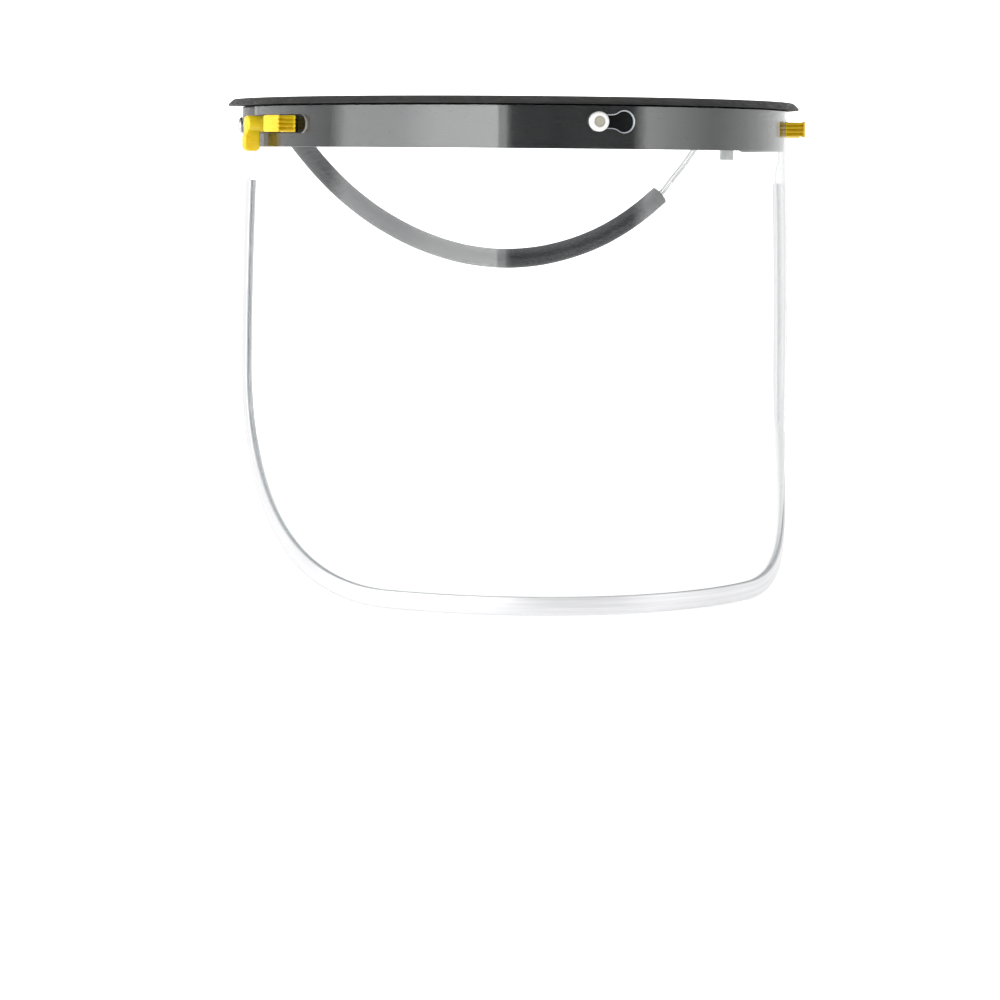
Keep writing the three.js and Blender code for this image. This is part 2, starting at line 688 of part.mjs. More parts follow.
function tube(route, radius, sides, steps, bore = 0) {
  const section = new THREE.Shape();
  section.absarc(0, 0, radius, 0, 2 * Math.PI);
  if (bore > 0) {
    const hole = new THREE.Path();
    hole.absarc(0, 0, bore, 0, 2 * Math.PI, true);
    section.holes.push(hole);
  }
  const settings = { steps, extrudePath: route, bevelEnabled: false, curveSegments: sides / 2 };
  return new THREE.ExtrudeGeometry(section, settings);
}

// Bent wire from the spring's end to a straight pin that lies in the ear's hole.
function hook(side, earX, springEnd, springTangent) {
  const start = springEnd.clone().addScaledVector(springTangent, 2 * GAP);
  const route = new THREE.CurvePath();
  const knee = new THREE.Vector3(earX - side * 2.6, STRAP_Y, STRAP_Z);
  const pinEnd = new THREE.Vector3(earX + side * 2.2, STRAP_Y, STRAP_Z);
  const pinStart = new THREE.Vector3(earX - side * 1.6, STRAP_Y, STRAP_Z);
  route.add(new THREE.QuadraticBezierCurve3(start, knee, pinStart));
  route.add(new THREE.LineCurve3(pinStart, pinEnd));
  const wire = tube(route, HOOK_RADIUS, 8, 12);
  const head = new THREE.CylinderGeometry(1.7, 1.7, 0.9, 12).rotateZ(Math.PI / 2);
  head.translate(earX + side * 2.2, STRAP_Y, STRAP_Z);
  return join(wire, head);
}

function buildStrap() {
  const spring = strapRoute(0, STRAP_LINE.length - 1);
  const sleeve = strapRoute(SLEEVE_FIRST, SLEEVE_LAST);
  add('strap_spring', tube(spring, SPRING_RADIUS, 8, 36), 'brightSteel');
  add('strap_sleeve', tube(sleeve, SLEEVE_RADIUS, 12, 24, SLEEVE_BORE), 'sleeveRubber');
  const leftTangent = spring.getTangent(0).negate();
  const leftHook = hook(-1, LEFT_EAR_X, spring.getPoint(0), leftTangent);
  const rightHook = hook(1, RIGHT_EAR_X, spring.getPoint(1), spring.getTangent(1));
  add('left_spring_hook', leftHook, 'brightSteel');
  add('right_spring_hook', rightHook, 'brightSteel');
}

buildBand();
buildSeal();
buildSheet();
buildBinding();
buildStud();
buildLatch('left', -1, 0);
buildLatch('right', 1, Math.PI / 2);
buildRearEnd('left', -1, LEFT_EAR_X);
buildRearEnd('right', 1, RIGHT_EAR_X);
buildStrap();

export default model;
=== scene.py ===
"""Looks of the hard-hat face shield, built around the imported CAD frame.

Lengths are in millimetres and are scaled to metres when a mesh is made. The front is -Y.
On the band, s is the length along its outer face from the front, positive towards +X.
"""

import json
import math
from bisect import bisect_left

import bmesh
import bpy
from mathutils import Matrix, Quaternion, Vector
from mathutils.geometry import delaunay_2d_cdt


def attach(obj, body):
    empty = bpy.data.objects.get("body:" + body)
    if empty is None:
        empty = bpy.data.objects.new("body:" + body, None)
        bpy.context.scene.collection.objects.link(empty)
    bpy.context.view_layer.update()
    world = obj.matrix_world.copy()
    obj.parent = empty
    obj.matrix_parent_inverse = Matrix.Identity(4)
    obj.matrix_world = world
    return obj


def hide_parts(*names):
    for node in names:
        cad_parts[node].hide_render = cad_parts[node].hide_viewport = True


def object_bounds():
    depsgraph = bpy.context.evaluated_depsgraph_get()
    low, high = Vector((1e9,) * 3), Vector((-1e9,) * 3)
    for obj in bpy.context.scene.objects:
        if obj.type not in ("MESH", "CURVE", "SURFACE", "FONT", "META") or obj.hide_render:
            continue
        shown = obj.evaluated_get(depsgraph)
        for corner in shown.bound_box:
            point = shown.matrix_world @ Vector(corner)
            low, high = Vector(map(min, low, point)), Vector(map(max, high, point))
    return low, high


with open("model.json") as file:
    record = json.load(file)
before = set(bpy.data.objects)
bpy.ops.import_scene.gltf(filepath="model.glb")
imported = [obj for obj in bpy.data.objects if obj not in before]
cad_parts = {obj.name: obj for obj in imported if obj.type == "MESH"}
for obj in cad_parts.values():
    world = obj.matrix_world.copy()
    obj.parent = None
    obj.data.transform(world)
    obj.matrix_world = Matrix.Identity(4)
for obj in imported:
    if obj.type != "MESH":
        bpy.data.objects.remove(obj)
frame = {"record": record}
cad_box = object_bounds()

MM = 0.001
GAP = 0.3

# Carrier band
HALF_WIDTH = 118
FRONT_DEPTH = 144
LEG_RADIUS = 56
LEG_TURN = math.radians(22)
BAND_HEIGHT = 17.5
BAND_THICKNESS = 2.2
BAND_CORNER = 4

# Rubber seal
SEAL_THICKNESS = 3.1
SEAL_OVERHANG = 6.3
SEAL_INSIDE = -8
SEAL_SKIRT = 2.1

BAND_TOP = -SEAL_THICKNESS - GAP
BAND_BOTTOM = BAND_TOP - BAND_HEIGHT
LATCH_Z = BAND_BOTTOM + 9.6
STUD_Z = BAND_BOTTOM + 10.9

# Clear visor
SHEET_THICKNESS = 1
SHEET_MIDDLE = GAP + SHEET_THICKNESS / 2
SHEET_OUTER = GAP + SHEET_THICKNESS
SHEET_TOP = BAND_TOP - 0.4
SHEET_BOTTOM = BAND_BOTTOM - 185.5
SHEET_HALF_LENGTH = 190
TAB_HALF_LENGTH = 182
SHOULDER_Z = BAND_BOTTOM - 5
SHOULDER_DROP = 9
CORNER_WIDTH = 104
CORNER_HEIGHT = 94
SHEET_FLARE = 2
FLARE_START = 80
KEYHOLE_SHIFT = 11
KEYHOLE_RADIUS = 4.2
KEYHOLE_NECK = 2.5
KEYHOLE_EASE = 0.45
# The keyhole's bevelled rim takes the pale edge material, which paints a highlight round the hole.
KEYHOLE_RIM = 0.4
KEYHOLE_BEVEL = 0.7 * KEYHOLE_RIM
CENTRAL_HALF_LENGTH = 80
# Columns and rows of points inside the sheet, the heights above the bottom edge that the columns
# start at in turn, and the least distance from a point to an edge
SHEET_COLUMNS = 128
SHEET_ROWS = 52
COLUMN_STARTS = (2.9, 1.3)
SHEET_MARGIN = 1.6
SLOT_END = 134
SLOT_HALF_HEIGHT = 3.95

# Edge binding
BINDING_DEPTH = 6.2
BINDING_WEB = 1.2
BINDING_WALL = 0.6
LIP_GAP = 0.06
LIP_LENGTH = 1.4
CRIMP_OVERLAP = 0.3
BINDING_START = SHOULDER_Z - SHOULDER_DROP

# Centre stud
STUD_RADIUS = 4
STUD_HEIGHT = 3
STUD_ROUND = 1.1
STUD_SHANK = 2
STUD_TAIL = 3.2
RECESS_RADIUS = 2.3
RECESS_DEPTH = 0.8
INLAY_RADIUS = 2
STUD_WASHER_RADIUS = 4.5
STUD_WASHER_THICKNESS = 1

# Side latches
BLOCK_FRONT = 143
BLOCK_LENGTH = 11.5
BLOCK_HALF_HEIGHT = 3.5
BLOCK_FLUTES = 4
BLOCK_FLUTE_DEPTH = 0.6
LATCH_HEIGHT = 9
WING_S = 172.5
WING_LENGTH = 11.5
WING_THICKNESS = 4
WING_LIFT = 2.6
WING_TIP_OVERHANG = 0.8
HUB_RADIUS = 3.5
HUB_ROUND = 0.7
PIN_RADIUS = 1
PIN_END = 5
PIN_HEAD = 2.6
LATCH_WASHER_RADIUS = 3.4
LATCH_WASHER_THICKNESS = 0.6

# Rear rivets, clips and strap
RIVET_S_FROM_WIDEST = 13.7
RIVET_RADIUS = 3.5
RIVET_RIM = 0.7
RIVET_DOME = 1.5
RIVET_SHANK = 1.6
RIVET_TAIL = 2.8
CLIP_THICKNESS = 1.2
CLIP_HALF_HEIGHT = 5
CLIP_FACE_Y = 23
CLIP_EAR_END_Y = 31
CLIP_BEND = 1.1
EAR_X = {"left": -98, "right": 104}
RIGHT_TAB_Z = BAND_BOTTOM - 3.7
RIGHT_TAB_WIDTH = 6.6
STRAP_Y = 27
STRAP_LINE = [
    [-91, -15.4], [-89.2, -17.6], [-87, -20.4], [-80, -28.6], [-72, -36.8], [-64, -43.7],
    [-55, -50.3], [-45, -56.2], [-35, -61], [-24, -65], [-11, -68.2], [4, -69.7], [18, -69],
    [30, -66.8], [41, -63.5], [51, -59.3], [60, -54.3], [69, -48.1], [78, -40.6],
    [84, -33.3], [89, -27.2], [93, -21.6], [97, -15.6],
]
SLEEVE_FIRST = 1
SLEEVE_LAST = 18
SPRING_RADIUS = 1.6
SPRING_WIRE = 0.3
SPRING_PITCH = 0.78
SLEEVE_RADIUS = 4.4
SLEEVE_BORE = 2.2
HOOK_RADIUS = 0.9
HOOK_KNEE = 2.6
HOOK_REACH = 1.6
HOOK_HEAD_RADIUS = 1.7
HOOK_HEAD_PLACE = 2.2

record = frame["record"]
BODY_OF = {node: body for body, nodes in record["behaviour"]["bodies"].items() for node in nodes}
SLOT_OF = {part["node"]: part["material_slot"] for part in record["subparts"]}


# ---- camera, with its distance and height in metres ----

CAMERA_AZIMUTH = math.radians(14.08)
CAMERA_PITCH = math.radians(3.5)
CAMERA_ROLL = math.radians(0.52)
CAMERA_DISTANCE = 1.422
CAMERA_HEIGHT = -0.0269
CAMERA_LENS = 115.7
CAMERA_SHIFT = (-0.0069, -0.1402)


def make_camera():
    data = bpy.data.cameras.new("Camera")
    data.lens = CAMERA_LENS
    data.sensor_width = 36
    data.shift_x, data.shift_y = CAMERA_SHIFT
    camera = bpy.data.objects.new("Camera", data)
    across, ahead = math.sin(CAMERA_AZIMUTH), math.cos(CAMERA_AZIMUTH)
    look = Vector((across, ahead, -math.tan(CAMERA_PITCH)))
    camera.location = (-CAMERA_DISTANCE * across, -CAMERA_DISTANCE * ahead, CAMERA_HEIGHT)
    camera.rotation_mode = "QUATERNION"
    roll = Quaternion((0, 0, 1), CAMERA_ROLL)
    camera.rotation_quaternion = look.to_track_quat("-Z", "Y") @ roll
    bpy.context.scene.collection.objects.link(camera)
    bpy.context.scene.camera = camera


# ---- shader nodes ----

def add_node(tree, kind, inputs=None, **settings):
    """A node with its settings; an input's value may be a number, a tuple or another socket."""
    node = tree.nodes.new(kind)
    for key, value in settings.items():
        setattr(node, key, value)
    for key, value in (inputs or {}).items():
        if isinstance(value, bpy.types.NodeSocket):
            tree.links.new(value, node.inputs[key])
        else:
            node.inputs[key].default_value = value
    return node


def maths(tree, operation, *values):
    node = add_node(tree, "ShaderNodeMath", operation=operation)
    for socket, value in zip(node.inputs, values):
        if isinstance(value, bpy.types.NodeSocket):
            tree.links.new(value, socket)
        else:
            socket.default_value = value
    return node.outputs[0]


def noise(tree, vector, scale, detail=4, roughness=0.55):
    inputs = {"Vector": vector, "Scale": scale, "Detail": detail, "Roughness": roughness}
    return add_node(tree, "ShaderNodeTexNoise", inputs).outputs["Fac"]


def ramp(tree, value, stops):
    """stops are (position, colour) pairs."""
    node = add_node(tree, "ShaderNodeValToRGB", {"Fac": value})
    elements = node.color_ramp.elements
    while len(elements) < len(stops):
        elements.new(0.5)
    for element, (position, colour) in zip(elements, stops):
        element.position = position
        element.color = (*colour, 1)
    return node.outputs["Color"]


def spread(tree, value, low, high, from_low=0.3, from_high=0.7):
    inputs = {"Value": value, "From Min": from_low, "From Max": from_high}
    inputs.update({"To Min": low, "To Max": high})
    return add_node(tree, "ShaderNodeMapRange", inputs).outputs["Result"]


def stretched(tree, vector, scale):
    return add_node(tree, "ShaderNodeMapping", {"Vector": vector, "Scale": scale}).outputs[0]


def bump(tree, height, strength, distance, normal=None):
    inputs = {"Height": height, "Strength": strength, "Distance": distance}
    if normal is not None:
        inputs["Normal"] = normal
    return add_node(tree, "ShaderNodeBump", inputs).outputs["Normal"]


def new_material(name):
    material = bpy.data.materials.new(name)
    material.use_nodes = True
    tree = material.node_tree
    shader = tree.nodes["Principled BSDF"]
    place = add_node(tree, "ShaderNodeTexCoord")
    return material, tree, shader, place


def connect(tree, shader, **sockets):
    for key, value in sockets.items():
        name = key.replace("_", " ")
        if isinstance(value, bpy.types.NodeSocket):
            tree.links.new(value, shader.inputs[name])
        else:
            shader.inputs[name].default_value = value


# ---- materials ----

def moulded(name, dark, light, rough, grain, grain_depth, **extra):
    """Moulded plastic or rubber: cloudy colour, uneven gloss, fine grain and rare specks."""
    material, tree, shader, place = new_material(name)
    where = place.outputs["Object"]
    cloud = noise(tree, where, 70, 5)
    specks = noise(tree, where, 2600, 2, 0.7)
    colour = ramp(tree, cloud, [(0.3, dark), (0.7, light)])
    dust = spread(tree, specks, 0, 0.16, 0.68, 0.8)
    pale = tuple(0.5 * c + 0.5 * 0.35 for c in light)
    mixed = add_node(tree, "ShaderNodeMix", data_type="RGBA", clamp_factor=True)
    tree.links.new(dust, mixed.inputs["Factor"])
    tree.links.new(colour, mixed.inputs["A"])
    mixed.inputs["B"].default_value = (*pale, 1)
    scuffs = noise(tree, stretched(tree, where, (1, 1, 5)), 240, 6, 0.65)
    roughness = spread(tree, scuffs, rough[0], rough[1])
    fine = bump(tree, noise(tree, where, grain, 3), 0.5, grain_depth)
    wave = bump(tree, cloud, 0.25, grain_depth * 6, fine)
    connect(tree, shader, Base_Color=mixed.outputs["Result"], Roughness=roughness, Normal=wave)
    connect(tree, shader, **extra)
    return material


def metal(name, dark, light, rough, lines, line_depth, along_uv=False, **extra):
    """Metal with fine drawn lines and small dents; along_uv lays the lines along a strip."""
    material, tree, shader, place = new_material(name)
    where = place.outputs["UV"] if along_uv else place.outputs["Object"]
    scale = (0.02, 1, 1) if along_uv else (1, 1, 0.06)
    drawn = noise(tree, stretched(tree, where, scale), lines, 6, 0.7)
    cloud = noise(tree, place.outputs["Object"], 160, 4)
    colour = ramp(tree, drawn, [(0.25, dark), (0.75, light)])
    roughness = spread(tree, drawn, rough[0], rough[1])
    fine = bump(tree, drawn, 0.35, line_depth)
    dents = bump(tree, cloud, 0.3, line_depth * 8, fine)
    extra.setdefault("Metallic", 1.0)
    connect(tree, shader, Base_Color=colour, Roughness=roughness, Normal=dents)
    connect(tree, shader, **extra)
    return material


POLYCARBONATE_IOR = 1.585


def mirror_share(tree):
    """Fresnel share of one face of the sheet, the same for a ray from outside or inside."""
    geometry = add_node(tree, "ShaderNodeNewGeometry")
    outside, inside_out = POLYCARBONATE_IOR, 1 / POLYCARBONATE_IOR
    ior = spread(tree, geometry.outputs["Backfacing"], outside, inside_out, 0, 1)
    return add_node(tree, "ShaderNodeFresnel", {"IOR": ior}).outputs[0]


def clear_face():
    """Polished polycarbonate: it mirrors by Fresnel, lets the rest through and holds faint haze."""
    material, tree, shader, place = new_material("clear_polycarbonate")
    tree.nodes.remove(shader)
    where = place.outputs["Object"]
    wipes = noise(tree, stretched(tree, where, (1, 1, 0.25)), 35, 5, 0.6)
    dust = noise(tree, where, 1900, 2, 0.75)
    haze = maths(tree, "ADD", spread(tree, wipes, 0, 0.012), spread(tree, dust, 0, 0.05, 0.7, 0.8))
    roughness = spread(tree, wipes, 0.0, 0.03)
    tint = ramp(tree, wipes, [(0, (0.965, 0.975, 0.975)), (1, (0.985, 0.992, 0.992))])
    through = add_node(tree, "ShaderNodeBsdfTransparent", {"Color": tint}).outputs[0]
    film = add_node(tree, "ShaderNodeBsdfDiffuse", {"Color": (0.75, 0.77, 0.78, 1)}).outputs[0]
    hazy = add_node(tree, "ShaderNodeMixShader", {0: haze, 1: through, 2: film}).outputs[0]
    gloss = add_node(tree, "ShaderNodeBsdfGlossy", {"Roughness": roughness}).outputs[0]
    share = mirror_share(tree)
    out = add_node(tree, "ShaderNodeMixShader", {0: share, 1: hazy, 2: gloss}).outputs[0]
    tree.links.new(out, tree.nodes["Material Output"].inputs["Surface"])
    return material


def cut_edge():
    """Sawn edge of the sheet, with fine saw lines: its pale colour is partly frosting and partly a
    painted highlight for the light that a clear edge carries.
    """
    material, tree, shader, place = new_material("cut_edge_frosting_and_painted_highlight")
    where = place.outputs["Object"]
    lines = noise(tree, stretched(tree, where, (1, 1, 0.2)), 900, 4)
    # Pale grey-blue: the frosting of the sawn edge, and in part a painted highlight.
    colour = ramp(tree, lines, [(0.3, (0.55, 0.6, 0.64)), (0.7, (0.82, 0.86, 0.9))])
    roughness = spread(tree, lines, 0.25, 0.5)
    connect(tree, shader, Base_Color=colour, Roughness=roughness, Alpha=0.75)
    connect(tree, shader, Normal=bump(tree, lines, 0.4, 0.00004))
    return material


def make_materials():
    steel = metal("bright_zinc", (0.5, 0.5, 0.51), (0.78, 0.78, 0.79), (0.16, 0.38), 900, 0.00001)
    return {
        "carrier_plastic": moulded(
            "carrier_black_plastic", (0.002, 0.0023, 0.003), (0.005, 0.0056, 0.0066),
            (0.16, 0.3), 3200, 0.000006, Specular_IOR_Level=0.22,
        ),
        "seal_rubber": moulded(
            "seal_black_rubber", (0.007, 0.007, 0.007), (0.02, 0.02, 0.019),
            (0.36, 0.8), 1500, 0.00006, Specular_IOR_Level=0.4,
        ),
        "clear_sheet": clear_face(),
        "cut_edge": cut_edge(),
        "binding": metal(
            "rolled_aluminium", (0.62, 0.62, 0.63), (0.86, 0.86, 0.87),
            (0.28, 0.46), 700, 0.000012, along_uv=True, Metallic=0.65,
        ),
        "stud_plastic": moulded(
            "stud_white_plastic", (0.8, 0.8, 0.78), (0.9, 0.9, 0.88), (0.2, 0.4), 2400, 0.00001,
        ),
        "stud_inlay": moulded(
            "stud_grey_insert", (0.24, 0.23, 0.18), (0.46, 0.44, 0.36), (0.5, 0.75), 900, 0.0002,
        ),
        "bright_steel": steel,
        "yellow_plastic": moulded(
            "latch_yellow_plastic", (0.8, 0.53, 0.008), (0.93, 0.7, 0.02),
            (0.16, 0.34), 2200, 0.00001,
            Subsurface_Weight=0.25, Subsurface_Radius=(0.004, 0.002, 0.0005), Subsurface_Scale=0.6,
        ),
        "clip_aluminium": metal(
            "satin_aluminium", (0.58, 0.58, 0.58), (0.8, 0.8, 0.8), (0.24, 0.45), 800, 0.000015,
        ),
        "spring_steel": metal(
            "spring_wire", (0.5, 0.5, 0.5), (0.76, 0.76, 0.76), (0.16, 0.3), 1400, 0.000006,
        ),
        "sleeve_rubber": moulded(
            "sleeve_dark_rubber", (0.012, 0.0135, 0.015), (0.024, 0.026, 0.029),
            (0.2, 0.36), 1300, 0.00003,
        ),
    }


# ---- mesh building ----

def even(first, last, count):
    return [first + (last - first) * i / count for i in range(count + 1)]


def bend(start, corner, end, steps):
    """Points of a smooth turn from start to end that is drawn towards the corner."""
    turn = even(0, 1, steps)
    return [start * (1 - t) ** 2 + corner * 2 * t * (1 - t) + end * t**2 for t in turn]


def quarter(radius, height, across, up, steps):
    """(radius, height) points of a quarter round, from (across, 0) to (0, up) about its centre."""
    turn = even(0, math.pi / 2, steps)[1:]
    return [(radius + across * math.cos(a), height + up * math.sin(a)) for a in turn]


def skin(rings, joined=False):
    """A surface through rings of equal size: vertices, faces, and a (u, v) for each corner.

    Its ends are capped, unless the last ring is joined to the first. u is the length along the
    first points of the rings, and v the length round a ring.
    """
    size = len(rings[0])
    vertices = [Vector(point) for ring in rings for point in ring]
    along, around = [0], [0]
    for before, after in zip(rings, rings[1:]):
        along.append(along[-1] + (Vector(after[0]) - Vector(before[0])).length)
    for j in range(size):
        step = Vector(rings[0][(j + 1) % size]) - Vector(rings[0][j])
        around.append(around[-1] + step.length)
    faces, uvs = [], []
    for i in range(len(rings) if joined else len(rings) - 1):
        row, after = i * size, (i + 1) % len(rings) * size
        ahead = along[i + 1] if i + 1 < len(rings) else along[i]
        for j in range(size):
            k = (j + 1) % size
            faces.append((row + j, after + j, after + k, row + k))
            uvs += [(along[i], around[j]), (ahead, around[j])]
            uvs += [(ahead, around[j + 1]), (along[i], around[j + 1])]
    if not joined:
        last = (len(rings) - 1) * size
        faces.append(tuple(range(size)))
        faces.append(tuple(range(last + size - 1, last - 1, -1)))
        uvs += [(0, value) for value in around[:size]]
        uvs += [(along[-1], value) for value in reversed(around[:size])]
    return vertices, faces, uvs


def merged(*shapes):
    vertices, faces, uvs = [], [], []
    for shape in shapes:
        start = len(vertices)
        vertices += shape[0]
        faces += [tuple(start + index for index in face) for face in shape[1]]
        uvs += shape[2]
    return vertices, faces, uvs


def turned_outwards(mesh):
    work = bmesh.new()
    work.from_mesh(mesh)
    bmesh.ops.recalc_face_normals(work, faces=work.faces)
    work.to_mesh(mesh)
    work.free()


def add_piece(node, shape, angle=32):
    """The visible piece for a CAD node: it rides on the node's body and takes its slot."""
    vertices, faces, uvs = shape
    mesh = bpy.data.meshes.new(node + "_look")
    mesh.from_pydata([Vector(vertex) * MM for vertex in vertices], [], faces)
    layer = mesh.uv_layers.new(name="UVMap")
    for corner, uv in zip(layer.data, uvs):
        corner.uv = (uv[0] * MM, uv[1] * MM)
    turned_outwards(mesh)
    mesh.materials.append(MATERIALS[SLOT_OF[node]])
    mesh.shade_smooth()
    mesh.set_sharp_from_angle(angle=math.radians(angle))
    piece = bpy.data.objects.new(node + "_look", mesh)
    bpy.context.scene.collection.objects.link(piece)
    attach(piece, BODY_OF[node])
    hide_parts(node)
    return piece


def rounded(corners, steps=4):
    """A closed outline from (x, y, cut) corners, each eased from cut before it to cut after it."""
    points = []
    for i, (x, y, cut) in enumerate(corners):
        corner = Vector((x, y))
        if cut == 0:
            points.append(corner)
            continue
        before = (Vector(corners[i - 1][:2]) - corner).normalized()
        after = (Vector(corners[(i + 1) % len(corners)][:2]) - corner).normalized()
        start, end = corner + before * cut, corner + after * cut
        points += bend(start, corner, end, steps)
    return points


def inset(outline, distance):
    """The outline moved inwards by a distance; it runs anticlockwise."""
    inner = []
    for i, point in enumerate(outline):
        before = (point - outline[i - 1]).normalized()
        after = (outline[(i + 1) % len(outline)] - point).normalized()
        inward = Vector((-before.y - after.y, before.x + after.x)).normalized()
        share = max(0.5, inward.dot(Vector((-after.y, after.x))))
        inner.append(point + inward * distance / share)
    return inner


def anticlockwise(outline):
    area = sum(a.x * b.y - b.x * a.y for a, b in zip(outline, outline[1:] + outline[:1]))
    return outline if area > 0 else outline[::-1]


def eased(radius, height, side, steps=4):
    """(inset, height) layers of a rounded edge; side is 1 at the top and -1 at the bottom."""
    layers = []
    for turn in even(0, math.pi / 2, steps):
        layers.append((radius * (1 - math.cos(turn)), height - side * radius * (1 - math.sin(turn))))
    return layers if side > 0 else layers[::-1]


def stack(outline, layers):
    """A solid of an outline in x and y, at (inset, z) layers from the bottom to the top."""
    outline = anticlockwise(outline)
    return skin([[(p.x, p.y, z) for p in inset(outline, amount)] for amount, z in layers])


def slab(outline, bottom, top, edge=0.25):
    return stack(outline, eased(edge, bottom, -1) + eased(edge, top, 1))


def turned(profile, sides=56):
    """A solid turned about z from (radius, height) points, ends on the axis or closing up."""
    rings = []
    for i in range(sides):
        a = 2 * math.pi * i / sides
        rings.append([(r * math.cos(a), r * math.sin(a), z) for r, z in profile])
    return skin(rings, joined=True)


def moved(shape, place):
    vertices, faces, uvs = shape
    return [place(vertex) for vertex in vertices], faces, uvs


# ---- the band's line, seen from above ----

ARC_SAMPLES = 2000
ARC = [0]
for sample in range(ARC_SAMPLES):
    a, b = (math.pi / 2 * (sample + i) / ARC_SAMPLES for i in (0, 1))
    dx = HALF_WIDTH * (math.sin(b) - math.sin(a))
    dy = FRONT_DEPTH * (math.cos(b) - math.cos(a))
    ARC.append(ARC[-1] + math.hypot(dx, dy))
WIDEST_S = ARC[-1]
BAND_HALF_LENGTH = WIDEST_S + LEG_RADIUS * LEG_TURN
RIVET_S = WIDEST_S + RIVET_S_FROM_WIDEST


def band_line(s):
    """Point and outward direction of the band's outer face at s."""
    side, length = (-1 if s < 0 else 1), abs(s)
    if length > WIDEST_S:
        turn = (length - WIDEST_S) / LEG_RADIUS
        x = HALF_WIDTH - LEG_RADIUS * (1 - math.cos(turn))
        point = Vector((side * x, LEG_RADIUS * math.sin(turn), 0))
        return point, Vector((side * math.cos(turn), math.sin(turn), 0))
    after = max(1, bisect_left(ARC, length))
    share = (length - ARC[after - 1]) / (ARC[after] - ARC[after - 1])
    angle = (after - 1 + share) / ARC_SAMPLES * math.pi / 2
    across, ahead = math.sin(angle), math.cos(angle)
    point = Vector((side * HALF_WIDTH * across, -FRONT_DEPTH * ahead, 0))
    out = Vector((side * FRONT_DEPTH * across, -HALF_WIDTH * ahead, 0))
    return point, out.normalized()


def band_point(s, offset, z):
    point, out = band_line(s)
    return point + out * offset + Vector((0, 0, z))


def on_band(shape, s, z):
    """Moves a shape from local axes (x rearwards, y up, z outwards) to s on the band."""
    point, out = band_line(s)
    rear = Vector((-out.y, out.x, 0)) * (-1 if s < 0 else 1)
    base = point + Vector((0, 0, z))
    return moved(shape, lambda v: base + rear * v.x + Vector((0, 0, v.y)) + out * v.z)


def band_loft(section, stations, place):
    return skin([[place(point, s) for point in section] for s in stations])


# ---- carrier band and seal ----

def end_eased(limit, count, reach):
    """Stations from -limit to limit that crowd within reach of both ends."""
    close = [limit - reach * (1 - math.sin(turn)) for turn in even(0, math.pi / 2, 10)]
    middle = even(-close[0], close[0], count)
    return [-s for s in reversed(close)][:-1] + middle + close[1:]


def build_band():
    half, middle = BAND_HEIGHT / 2, (BAND_TOP + BAND_BOTTOM) / 2
    thick = BAND_THICKNESS / 2
    corners = [(-thick, -half), (thick, -half), (thick, half), (-thick, half)]
    section = rounded([(x, y, 0.6) for x, y in corners])

    def place(point, s):
        left = BAND_HALF_LENGTH - abs(s)
        rise, squeeze = half, 1
        if left < BAND_CORNER:
            rise = half - BAND_CORNER + math.sqrt(max(0, left * (2 * BAND_CORNER - left)))
        if left < 0.5:
            squeeze = 0.55 + 0.45 * math.sqrt(max(0, 1 - (1 - left / 0.5) ** 2))
        return band_point(s, -thick + point.x * squeeze, middle + point.y * rise / half)

    stations = end_eased(BAND_HALF_LENGTH, 300, BAND_CORNER)
    add_piece("carrier_band", band_loft(section, stations, place))


def build_seal():
    under, skirt = -SEAL_THICKNESS, -BAND_THICKNESS - GAP
    section = rounded([
        (SEAL_OVERHANG, under + 0.05, 0.12), (SEAL_OVERHANG - 0.1, under + 0.7, 0.3),
        (SEAL_OVERHANG - 2.4, -0.1, 0.9), (SEAL_INSIDE + 1.2, 0, 0.8),
        (SEAL_INSIDE, -1.2, 0.5), (SEAL_INSIDE + 0.4, -2, 0.4), (skirt - 1.9, under + 0.2, 0.8),
        (skirt - 1.6, under - SEAL_SKIRT, 0.4), (skirt, under - SEAL_SKIRT, 0.4),
        (skirt, under, 0.4),
    ])
    centre = Vector((-1, under / 2))

    def place(point, s):
        left = BAND_HALF_LENGTH - abs(s)
        squeeze = 1
        if left < 0.6:
            squeeze = 0.85 + 0.15 * math.sqrt(max(0, 1 - (1 - left / 0.6) ** 2))
        eased_point = centre + (point - centre) * squeeze
        return band_point(s, eased_point.x, eased_point.y)

    add_piece("top_seal", band_loft(section, end_eased(BAND_HALF_LENGTH, 300, 0.6), place))


# ---- visor ----

def smooth(value):
    value = min(1, max(0, value))
    return value * value * (3 - 2 * value)


def sheet_point(s, z, offset):
    reach = smooth((abs(s) - FLARE_START) / (SHEET_HALF_LENGTH - FLARE_START))
    drop = min(1, max(0, (BAND_BOTTOM - z) / (BAND_BOTTOM - SHEET_BOTTOM)))
    flare = SHEET_FLARE * reach * math.sin(math.pi * drop)
    return band_point(s, SHEET_MIDDLE + flare + offset, z)


def sheet_normal(s, z):
    step = 0.5
    along = sheet_point(s + step, z, 0) - sheet_point(s - step, z, 0)
    up = sheet_point(s, z + step, 0) - sheet_point(s, z - step, 0)
    return along.cross(up).normalized()


